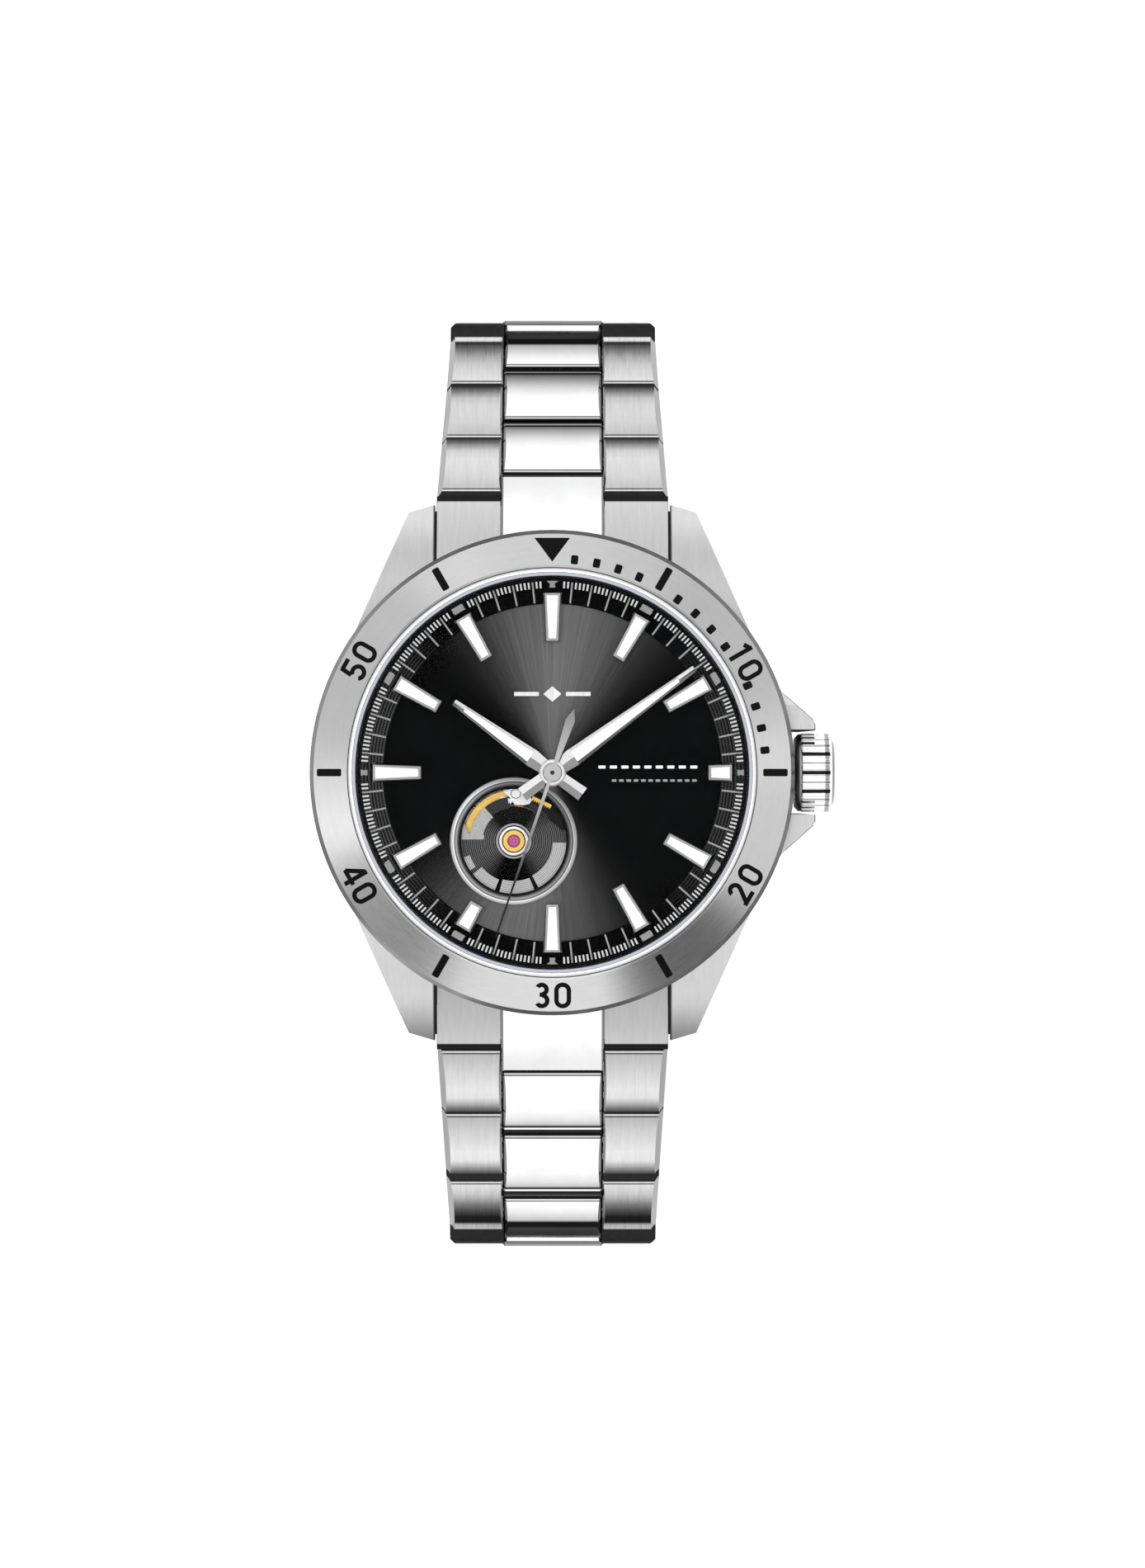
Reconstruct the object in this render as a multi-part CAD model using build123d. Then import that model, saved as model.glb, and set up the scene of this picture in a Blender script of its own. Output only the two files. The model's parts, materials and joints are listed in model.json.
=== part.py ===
from build123d import *
from math import atan2, cos, degrees, hypot, radians, sin, sqrt, tan
import os

# Automatic dive-style wristwatch with an open balance aperture, on a closed three-row steel bracelet.
# Millimetres. +Z is the dial normal, +X is 3 o'clock (the crown), +Y is 12 o'clock.
# z = 0 is the outer face of the case back, x = y = 0 is the axis of the hands.

# ---------------------------------------------------------------- driving dimensions
BEZEL_R = 21.5  # 43 mm watch
CASE_R = 20.6
LUG_GAP = 21.1
LUG_TIP_Y = 23.95
CROWN_R = 3.5
CROWN_Z = 5.9

DIAL_Z = 8.0  # upper face of the dial
DIAL_R = 15.8
REHAUT_R = 15.03  # where the dial disappears under the chapter ring
MARKER_START = 11.65
MARKER_END = 16.05
MARKER_TOP = 8.6
CRYSTAL_R = 17.4
CRYSTAL_LOW = 10.7
CRYSTAL_TOP = 12.75
NECK_R = 18.05  # case neck that the bezel turns on

APERTURE_R = 7.0  # distance of the balance from the hands
APERTURE_ANGLE = 240.5
APERTURE_X = APERTURE_R * cos(radians(APERTURE_ANGLE))
APERTURE_Y = APERTURE_R * sin(radians(APERTURE_ANGLE))

HOUR_ANGLE = 305.6  # clockwise from 12, rest positions of the hands
MINUTE_ANGLE = 53.8
SECONDS_ANGLE = 199.0

# movement
MOVEMENT_R = 13.0
PLATE_LOW = 5.2
PLATE_TOP = 6.6
BRIDGE_LOW = 3.1
BRIDGE_TOP = 3.9
CENTRE_TEETH = 64
THIRD_PINION = 8
THIRD_TEETH = 60
FOURTH_PINION = 8
FOURTH_TEETH = 70
ESCAPE_PINION = 7
ESCAPE_TEETH = 18
BARREL_TEETH = 72
CENTRE_PINION = 12
CANNON_TEETH = 10
MINUTE_WHEEL_TEETH = 30
MINUTE_PINION = 8
HOUR_TEETH = 32
THIRD_ARM = 3.8
ESCAPE_ARM = 3.85
BARREL_ARM = 5.04
MOTION_ARM = 2.8
THIRD_ANGLE = 80.0
ESCAPE_ANGLE = 187.0
BARREL_ANGLE = -20.0
MOTION_ANGLE = 30.0
PALLET_FROM_BALANCE = 2.71

# bracelet
PITCH = 5.95
HALF_THICK = 1.5
KNUCKLE_R = 1.75
SOCKET_R = 1.83
PIN_R = 0.6
PIN_HOLE_R = 0.65
SIDE_GAP = 0.06
CENTRE_HALF = [4.55, 4.5, 4.45, 4.4, 4.35, 4.3, 4.3, 4.3, 4.3]
OUTER_HALF = [10.25, 9.9, 9.55, 9.3, 9.15, 9.1, 9.1, 9.1, 9.1, 9.1]
END_TILTS = {1: 22.0, -1: 16.0}
PIVOT_12 = (25.15, 3.4)
PIVOT_6 = (25.35, 3.4)
TILTS_12 = [33, 34, 39, 86, 100, 118, 138, 158, 172]
TILTS_6 = [17, 19, 38, 86, 98, 112, 130, 150, 168]

# folding clasp: every leaf is an arc about one axis far above the wrist
CLASP_CENTRE_Z = 102.7
CLASP_R = 135.0  # pivot line of the leaves
COVER_HALF = 10.2
COVER_INNER = 9.35
HINGE_B_Y = 15.8
HINGE_C_Y = -19.6

BASE = (Align.CENTER, Align.CENTER, Align.MIN)


# ---------------------------------------------------------------- helpers
def polar(radius, angle):
    return (radius * cos(radians(angle)), radius * sin(radians(angle)))


def disc(radius, low, high, x=0.0, y=0.0):
    return Pos(x, y, low) * Cylinder(radius, high - low, align=BASE)


def ring(outer, inner, low, high, x=0.0, y=0.0):
    return disc(outer, low, high, x, y) - disc(inner, low - 1, high + 1, x, y)


def prism(points, low, high):
    return extrude(Pos(0, 0, low) * Polygon(*points, align=None), amount=high - low, dir=(0, 0, 1))


def box(x0, x1, y0, y1, z0, z1):
    return Pos((x0 + x1) / 2, (y0 + y1) / 2, (z0 + z1) / 2) * Box(x1 - x0, y1 - y0, z1 - z0)


def turned(points):
    # a profile of (radius, z) points turned about the axis of the hands
    return revolve(Plane.XZ * Polygon(*points, align=None), Axis.Z)


def across(points, x0, x1):
    # a side profile of (y, z) points run across the watch
    return extrude(Pos(x0, 0, 0) * (Plane.YZ * Polygon(*points, align=None)), amount=x1 - x0, dir=(1, 0, 0))


def bar_x(radius, x0, x1, y=0.0, z=0.0):
    return Pos(x0, y, z) * Rot(0, 90, 0) * Cylinder(radius, x1 - x0, align=BASE)


def clockwise(shape, angle):
    return Rot(0, 0, -angle) * shape


def mirrored_x(shape):
    return mirror(shape, about=Plane.YZ)


def group(*shapes):
    solids = []
    for shape in shapes:
        solids.extend(shape.solids())
    return Compound(solids)


def save(shape, name):
    os.makedirs("parts", exist_ok=True)
    export_step(shape, f"parts/{name}.step")
    print(name, len(shape.solids()), round(shape.volume, 2))


# ---------------------------------------------------------------- gears and springs
def gear(teeth, pitch_r, low, high, x=0.0, y=0.0, start=0.0, tooth=0.40):
    # straight-flanked teeth with backlash, start is the angle of the first tooth
    module = 2 * pitch_r / teeth
    root = pitch_r - 1.2 * module
    tip = pitch_r + 0.85 * module
    step = 360 / teeth
    points = []
    for i in range(teeth):
        middle = start + i * step
        for radius, share in ((root, -0.30), (tip, -0.10), (tip, 0.10), (root, 0.30)):
            points.append(polar(radius, middle + share * step * tooth / 0.40))
    return Pos(x, y, 0) * prism(points, low, high)


def wheel(teeth, pitch_r, low, high, x, y, start=0.0, spokes=4, hub=0.75, rim=0.75):
    body = gear(teeth, pitch_r, low, high, x, y, start)
    inner = pitch_r - rim
    window = ring(inner, hub, low - 0.1, high + 0.1, x, y)
    for i in range(spokes):
        arm = Rot(0, 0, i * 360 / spokes) * box(-0.22, 0.22, 0, pitch_r, low - 0.2, high + 0.2)
        window -= Pos(x, y, 0) * arm
    return body - window


def arbor(x, y, low, high, radius=0.2, pivot=0.11):
    body = disc(radius, low, high, x, y)
    body += disc(pivot, low - 0.3, low, x, y)
    return body + disc(pivot, high, high + 0.3, x, y)


def spiral(r0, r1, turns, thick, low, high, x, y, start=0.0):
    # a flat strip wound from r0 out to r1
    steps = int(turns * 12)
    inner = []
    outer = []
    for i in range(steps + 1):
        share = i / steps
        radius = r0 + (r1 - r0) * share
        inner.append(polar(radius - thick / 2, start + 360 * turns * share))
        outer.append(polar(radius + thick / 2, start + 360 * turns * share))
    a = Spline(*inner)
    b = Spline(*outer)
    face = make_face([a, Line(inner[-1], outer[-1]), b, Line(outer[0], inner[0])])
    return Pos(x, y, low) * extrude(face, amount=high - low, dir=(0, 0, 1))


# ---------------------------------------------------------------- case
def build_case():
    body = turned(
        [
            (16.65, 1.65),
            (18.6, 1.65),
            (CASE_R - 0.2, 3.4),
            (CASE_R, 3.8),
            (CASE_R, 9.0),
            (NECK_R, 9.0),
            (NECK_R, 12.3),
            (NECK_R - 0.2, 12.5),
            (17.72, 12.5),
            (17.72, CRYSTAL_LOW),
            (17.2, CRYSTAL_LOW),
            (17.2, 8.05),
            (16.1, 8.05),
            (16.1, 3.1),
            (16.65, 3.1),
        ]
    )
    inside = LUG_GAP / 2
    for sx in (1, -1):
        for sy in (1, -1):
            plan = [(inside, 9.0), (inside, LUG_TIP_Y), (12.85, 23.25), (19.1, 9.0)]
            plan = [(sx * x, sy * y) for x, y in plan]
            top = ThreePointArc((sy * 9.0, 9.0), (sy * 17.5, 7.95), (sy * 24.0, 5.35))
            tip = Line((sy * 24.0, 5.35), (sy * 24.0, 2.6))
            heel = ThreePointArc((sy * 24.0, 2.6), (sy * 19.5, 2.0), (sy * 9.0, 2.4))
            close = Line((sy * 9.0, 2.4), (sy * 9.0, 9.0))
            side = Plane.YZ * make_face([top, tip, heel, close])
            lug = prism(plan, 0.0, 9.5) & extrude(side, amount=25, both=True)
            body += lug - disc(18.0, 0, 10)
    for sy in (1, -1):
        guard = [(19.9, 7.9), (20.5, 7.15), (23.2, 4.75), (23.4, 4.3), (23.4, 3.75)]
        guard += [(22.0, 3.62), (20.2, 3.62)]
        plan = [(x, sy * y) for x, y in guard]
        outline = [(-9, 4.2), (-6.5, 3.3), (6.5, 3.3), (9, 4.2), (9, 8.1), (6, 8.6), (-6, 8.6), (-9, 8.1)]
        height = across(outline, 18, 25)
        body += prism(plan, 3.0, 9.0) & height
    body -= bar_x(1.62, 15.0, 21.5, 0, CROWN_Z)
    body -= ring(17.9, 17.2, 1.0, 2.2)
    for sy in (1, -1):
        y, z = spring_bar_place(sy)
        body -= bar_x(0.45, -12.0, 12.0, y, z)
    tube = bar_x(1.6, 16.2, 22.4, 0, CROWN_Z) - bar_x(0.95, 16.0, 23.0, 0, CROWN_Z)
    save(group(body, tube), "case_middle")


def spring_bar_place(sy):
    pivot = PIVOT_12 if sy > 0 else PIVOT_6
    y = pivot[0] - 3.3 * cos(radians(END_TILTS[sy]))
    z = pivot[1] + 3.3 * sin(radians(END_TILTS[sy]))
    return sy * y, z


def build_case_back():
    back = turned(
        [(12.2, 0), (17.6, 0), (18.4, 0.8), (18.4, 1.6), (16.6, 1.6), (16.6, 3.0), (15.6, 3.0)]
        + [(15.6, 1.55), (13.12, 1.55), (13.12, 0.6), (12.2, 0.6)]
    )
    for i in range(6):
        notch = box(16.2, 19.0, -1.1, 1.1, -1, 0.5)
        back -= Rot(0, 0, 30 + 60 * i) * notch
    save(back, "case_back")
    window = disc(13.1, 0.62, 1.5)
    save(window, "case_back_window")
    crystal = disc(CRYSTAL_R, CRYSTAL_LOW, CRYSTAL_TOP)
    crystal = chamfer(crystal.edges().sort_by(Axis.Z)[-1], 0.2)
    save(crystal, "crystal")
    upper = ring(17.7, 17.42, CRYSTAL_LOW + 0.02, 12.45)
    lower = ring(17.85, 17.25, 1.62, 2.15)
    save(group(upper, lower), "gaskets")


# ---------------------------------------------------------------- bezel
SLOPE = [(18.13, 12.5), (18.3, 12.58), (21.12, 11.5)]
SLOPE_ANGLE = atan2(12.58 - 11.5, 21.12 - 18.3)


def cone_band(low, high):
    # the layer between two depths under the sloped face of the bezel
    r0, z0 = 17.0, 12.58 + 1.3 * tan(SLOPE_ANGLE)
    r1, z1 = 22.5, 11.5 - 1.38 * tan(SLOPE_ANGLE)
    return turned([(r0, z0 - high), (r1, z1 - high), (r1, z1 - low), (r0, z0 - low)])


def stroke(x0, y0, x1, y1):
    # a straight stroke of a numeral, square at its ends
    length = hypot(x1 - x0, y1 - y0)
    turn = degrees(atan2(y1 - y0, x1 - x0))
    return Pos((x0 + x1) / 2, (y0 + y1) / 2) * Rot(0, 0, turn) * Rectangle(length, STROKE)


def bow(x, y, radius, a0, a1):
    # a curved stroke from angle a0 to a1 about (x, y)
    band = Circle(radius + STROKE / 2) - Circle(radius - STROKE / 2)
    fan = [(0, 0)] + [polar(3, a0 + (a1 - a0) * i / 6) for i in range(7)]
    return Pos(x, y) * (band & Polygon(*fan, align=None))


STROKE = 0.4


def digit(char):
    if char == "0":
        return RectangleRounded(1.5, 2.3, 0.72) - RectangleRounded(1.5 - 2 * STROKE, 2.3 - 2 * STROKE, 0.33)
    if char == "1":
        return Pos(0.15, 0) * Rectangle(STROKE, 2.3) + stroke(-0.4, 0.62, 0.2, 1.0)
    if char == "2":
        return bow(0, 0.5, 0.45, -40, 170) + stroke(0.42, 0.28, -0.5, -0.98) + stroke(-0.72, -0.95, 0.68, -0.95)
    if char == "3":
        return bow(0, 0.53, 0.42, -90, 150) + bow(0, -0.47, 0.48, -150, 90) + stroke(-0.2, 0.06, 0.05, 0.06)
    if char == "4":
        upright = stroke(0.3, 1.15, 0.3, -1.15)
        return upright + stroke(0.22, 1.02, -0.72, -0.5) + stroke(-0.8, -0.5, 0.72, -0.5)
    return stroke(-0.45, 0.95, 0.6, 0.95) + stroke(-0.42, 1.1, -0.5, 0.0) + bow(0, -0.42, 0.53, -150, 140)


def numeral(text, minute):
    upright = minute in (10, 50)
    shape = Pos(-0.92, 0) * digit(text[0]) + Pos(0.92, 0) * digit(text[1])
    turn = 0 if upright else 180
    return Rot(0, 0, -6 * minute) * Pos(0, 19.68) * Rot(0, 0, turn) * shape


def bezel_marks():
    marks = [make_face(Polyline((-1.58, 20.75), (1.58, 20.75), (0, 18.6), close=True))]
    for minute in (5, 15, 25, 35, 45, 55):
        marks.append(Rot(0, 0, -6 * minute) * Pos(0, 19.72) * RectangleRounded(0.66, 2.2, 0.15))
    for minute in (1, 2, 3, 4, 6, 7, 8, 9, 11, 12, 13, 14):
        marks.append(Rot(0, 0, -6 * minute) * Pos(0, 18.88) * RectangleRounded(0.64, 0.82, 0.15))
    for minute in (10, 20, 30, 40, 50):
        marks.extend(numeral(str(minute), minute).faces())
    return marks


def build_bezel():
    body = turned(
        [(18.13, 9.2), (21.3, 9.2), (BEZEL_R, 9.4), (BEZEL_R, 10.6), (21.12, 11.5)] + [SLOPE[1], SLOPE[0]]
    )
    cutters = [extrude(Pos(0, 0, 10.5) * mark, amount=2.5, dir=(0, 0, 1)) for mark in bezel_marks()]
    pocket = cone_band(-0.6, 0.24)
    inlay = cone_band(0.06, 0.23)
    filled = []
    for cutter in cutters:
        body -= cutter & pocket
        filled.extend((cutter & inlay).solids())
    for i in range(60):
        body -= Rot(0, 0, 6 * i) * box(18.6, 20.0, -0.35, 0.35, 9.1, 9.35)
    save(body, "bezel")
    save(group(*filled), "bezel_markings")


# ---------------------------------------------------------------- dial side
def build_dial():
    dial = disc(DIAL_R, 7.62, DIAL_Z)
    dial -= disc(4.72, 7, 9, APERTURE_X, APERTURE_Y)
    dial -= disc(1.25, 7, 9)
    save(dial, "dial")

    x, y = APERTURE_X, APERTURE_Y
    profile = [(4.7, 7.64), (4.72, 7.64), (4.72, DIAL_Z), (5.69, DIAL_Z), (5.69, 8.12), (5.45, 8.3)]
    profile += [(5.05, 8.3), (4.9, 8.05), (4.7, 7.98)]
    save(Pos(x, y, 0) * turned(profile), "aperture_frame")

    chapter = turned(
        [(REHAUT_R, 8.06), (17.17, 8.06), (17.17, 10.62), (17.07, 10.62), (16.4, 8.45)]
        + [(REHAUT_R + 0.06, 8.3), (REHAUT_R, 8.24)]
    )
    for hour in range(12):
        chapter -= clockwise(box(-0.83, 0.83, 14, MARKER_END + 0.05, 7.9, 9), 30 * hour)
    save(chapter, "chapter_ring")


def hour_marker(inner, outer):
    # steel frame with a tapered well and the luminous block that fills it
    def outline(r0, r1, w0, w1):
        return [(-w0, r0), (w0, r0), (w1, r1), (-w1, r1)]

    share = (inner - MARKER_START) / (outer - MARKER_START)
    w0 = 0.60 + 0.175 * share
    frame = prism(outline(inner, outer, w0, 0.775), DIAL_Z, MARKER_TOP)
    frame = chamfer(frame.edges().group_by(Axis.Z)[-1], 0.08)
    well = outline(inner + 0.28, outer - 0.26, w0 - 0.26, 0.54)
    frame -= prism(well, DIAL_Z + 0.1, 9)
    lume = prism(outline(inner + 0.29, outer - 0.27, w0 - 0.27, 0.53), DIAL_Z + 0.11, MARKER_TOP - 0.03)
    return [frame, lume]


def build_markers():
    parts = []
    for hour in range(1, 13):
        inner = {3: 13.85, 7: 13.4}.get(hour, MARKER_START)
        for piece in hour_marker(inner, MARKER_END):
            parts.append(clockwise(piece, 30 * hour))
    # plain applied emblem below 12: a lozenge between two bars
    parts.append(prism([(-0.8, 7.0), (0, 6.3), (0.8, 7.0), (0, 7.7)], DIAL_Z, 8.25))
    for sx in (1, -1):
        bar = [(sx * 1.2, 6.82), (sx * 3.4, 6.82), (sx * 3.4, 7.18), (sx * 1.2, 7.18)]
        parts.append(prism(bar, DIAL_Z, 8.2))
    save(group(*parts), "hour_markers")


def sword(length, tail, wide, low, high, hub, bore, lume_from, lume_to):
    # a tapered hand with a luminous strip, a broad tail and a round boss
    outline = [(-0.28, length), (0.28, length), (wide, 2.2), (0.6, 0), (-0.6, 0), (-wide, 2.2)]
    body = prism(outline, low, high)
    body = chamfer([e for e in body.edges().group_by(Axis.Z)[-1] if e.length > 2.5], 0.1)
    body += prism([(-0.5, 0.6), (0.5, 0.6), (0.66, -tail), (-0.66, -tail)], low, high)
    body += disc(hub, low, high)
    body -= disc(bore, low - 1, high + 1)
    slot_w0 = wide - 0.3
    slot_w1 = 0.17
    well = [(-slot_w1, lume_to), (slot_w1, lume_to), (slot_w0, lume_from), (-slot_w0, lume_from)]
    body -= prism(well, low + 0.08, high + 1)
    fill = [(-slot_w1 + 0.01, lume_to - 0.01), (slot_w1 - 0.01, lume_to - 0.01)]
    fill += [(slot_w0 - 0.01, lume_from + 0.01), (-slot_w0 + 0.01, lume_from + 0.01)]
    return body, prism(fill, low + 0.09, high - 0.01)


def build_hands():
    body, lume = sword(10.75, 3.3, 0.8, 8.5, 8.75, 1.2, 1.08, 2.4, 9.6)
    save(group(clockwise(body, HOUR_ANGLE), clockwise(lume, HOUR_ANGLE)), "hour_hand")
    body, lume = sword(15.65, 3.3, 0.82, 8.95, 9.2, 1.13, 0.5, 2.4, 13.9)
    save(group(clockwise(body, MINUTE_ANGLE), clockwise(lume, MINUTE_ANGLE)), "minute_hand")
    body = prism([(-0.06, 15.5), (0.06, 15.5), (0.16, 0), (-0.16, 0)], 9.4, 9.52)
    body += prism([(-0.14, 0), (0.14, 0), (0.42, -4.9), (0, -6.0), (-0.42, -4.9)], 9.4, 9.52)
    body += disc(0.8, 9.36, 9.62) + disc(0.35, 9.62, 9.7)
    body -= disc(0.2, 9, 10)
    save(clockwise(body, SECONDS_ANGLE), "seconds_hand")


# ---------------------------------------------------------------- movement
THIRD_X, THIRD_Y = polar(THIRD_ARM, THIRD_ANGLE)
ESCAPE_X, ESCAPE_Y = polar(ESCAPE_ARM, ESCAPE_ANGLE)
BARREL_X, BARREL_Y = polar(BARREL_ARM, BARREL_ANGLE)
MOTION_X, MOTION_Y = polar(MOTION_ARM, MOTION_ANGLE)
TO_ESCAPE = atan2(ESCAPE_Y - APERTURE_Y, ESCAPE_X - APERTURE_X)
PALLET_X = APERTURE_X + PALLET_FROM_BALANCE * cos(TO_ESCAPE)
PALLET_Y = APERTURE_Y + PALLET_FROM_BALANCE * sin(TO_ESCAPE)


def pitch_radii(teeth_a, teeth_b, distance):
    total = teeth_a + teeth_b
    return distance * teeth_a / total, distance * teeth_b / total


def meshed_start(teeth, toward):
    # a gap of the follower faces the tooth of its partner along the line of centres
    return toward + 180 / teeth


def build_plates():
    holder = ring(16.05, MOVEMENT_R + 0.05, 3.2, 7.6)
    holder -= bar_x(1.0, 12, 17, 0, CROWN_Z)
    save(holder, "movement_ring")

    plate = disc(MOVEMENT_R, PLATE_LOW, PLATE_TOP)
    pocket = disc(4.95, PLATE_LOW - 1, PLATE_TOP + 1, APERTURE_X, APERTURE_Y)
    strip = box(-20, 20, PALLET_Y - 0.45, PALLET_Y + 0.45, PLATE_LOW, PLATE_LOW + 0.25)
    plate -= pocket - strip
    plate -= disc(0.13, 5, 6, PALLET_X, PALLET_Y)
    plate -= disc(4.55, PLATE_LOW - 1, 6.1, BARREL_X, BARREL_Y)
    plate -= disc(0.33, 6, 7, BARREL_X, BARREL_Y)
    plate -= disc(0.95, 5, 7)
    plate -= disc(0.13, 5, 6, THIRD_X, THIRD_Y) + disc(0.13, 5, 7, ESCAPE_X, ESCAPE_Y)
    plate -= box(9.7, 14, -0.6, 0.6, 5, 7)
    post = disc(0.3, PLATE_TOP - 0.1, 7.3, MOTION_X, MOTION_Y)
    rail = ring(12.9, 12.3, PLATE_TOP - 0.1, 7.6)
    rail -= box(5, 14, -2, 2, 6, 8)
    save(plate + post + rail, "main_plate")

    bridge = disc(12.6, BRIDGE_LOW, BRIDGE_TOP) - disc(5.35, 3, 4, APERTURE_X, APERTURE_Y)
    cut = Pos(APERTURE_X, APERTURE_Y, 0) * Rot(0, 0, APERTURE_ANGLE) * box(0, 9, -3.2, 3.2, 3, 4)
    bridge -= cut
    foot = ring(12.6, 11.4, BRIDGE_TOP - 0.1, PLATE_LOW)
    foot -= Pos(0, 0, 0) * Rot(0, 0, APERTURE_ANGLE) * box(0, 14, -5.4, 5.4, 3, 6)
    bridge += foot
    for x, y in ((0, 0), (THIRD_X, THIRD_Y), (ESCAPE_X, ESCAPE_Y)):
        bridge -= disc(0.45, 3, 4, x, y)
    bridge -= disc(0.63, 3, 4, BARREL_X, BARREL_Y)
    axle = ring(1.2, 0.5, 2.3, BRIDGE_LOW)
    save(bridge + axle, "train_bridge")

    reach = Pos(APERTURE_X, APERTURE_Y, 0) * Rot(0, 0, APERTURE_ANGLE)
    cock = disc(1.3, BRIDGE_LOW, BRIDGE_TOP, APERTURE_X, APERTURE_Y)
    cock += reach * box(0, 5.7, -1.0, 1.0, BRIDGE_LOW, BRIDGE_TOP)
    cock += reach * box(4.95, 5.7, -2.4, 2.4, BRIDGE_LOW, PLATE_LOW)
    cock -= disc(0.45, 3, 4, APERTURE_X, APERTURE_Y)
    save(cock, "balance_cock")

    # black plate behind the dial: jewel in the middle, crescent window over the balance
    x, y = APERTURE_X, APERTURE_Y
    cover = disc(4.95, 7.25, 7.5, x, y)
    crescent = disc(4.75, 7, 8, x, y) - disc(3.2, 7, 8, x, y - 0.1)
    sector = prism([(0, 0)] + [polar(9, a) for a in (12, 50, 90, 130, 178)], 7, 8)
    cover -= crescent & (Pos(x, y, 0) * sector)
    for angle in (110, 200, 340):
        ear = Pos(x, y, 0) * Rot(0, 0, angle) * Pos(5.35, 0, PLATE_TOP) * Cylinder(0.45, 0.9, align=BASE)
        cover += ear
    cover -= disc(0.95, 7, 8, x, y)
    save(cover, "aperture_plate")

    stones = []
    for jx, jy in ((0, 0), (THIRD_X, THIRD_Y), (ESCAPE_X, ESCAPE_Y), (APERTURE_X, APERTURE_Y)):
        stones.append(ring(0.45, 0.14, BRIDGE_LOW + 0.05, BRIDGE_TOP, jx, jy))
    stones.append(ring(0.95, 0.14, 7.15, 7.25, x, y) + ring(0.95, 0.53, 7.25, 7.6, x, y))
    stones.append(disc(0.52, 7.25, 7.5, x, y))
    save(group(*stones), "jewels")

    screws = []
    places = [polar(11.9, a) for a in (20, 95, 165, 300)]
    outward = radians(APERTURE_ANGLE)
    places.append((APERTURE_X + 5.3 * cos(outward), APERTURE_Y + 5.3 * sin(outward)))
    for sx, sy in places:
        head = disc(0.42, BRIDGE_LOW - 0.25, BRIDGE_LOW, sx, sy)
        screws.append(head - Pos(sx, sy, BRIDGE_LOW - 0.25) * Box(1.0, 0.12, 0.24))
    save(group(*screws), "screws")


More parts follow.
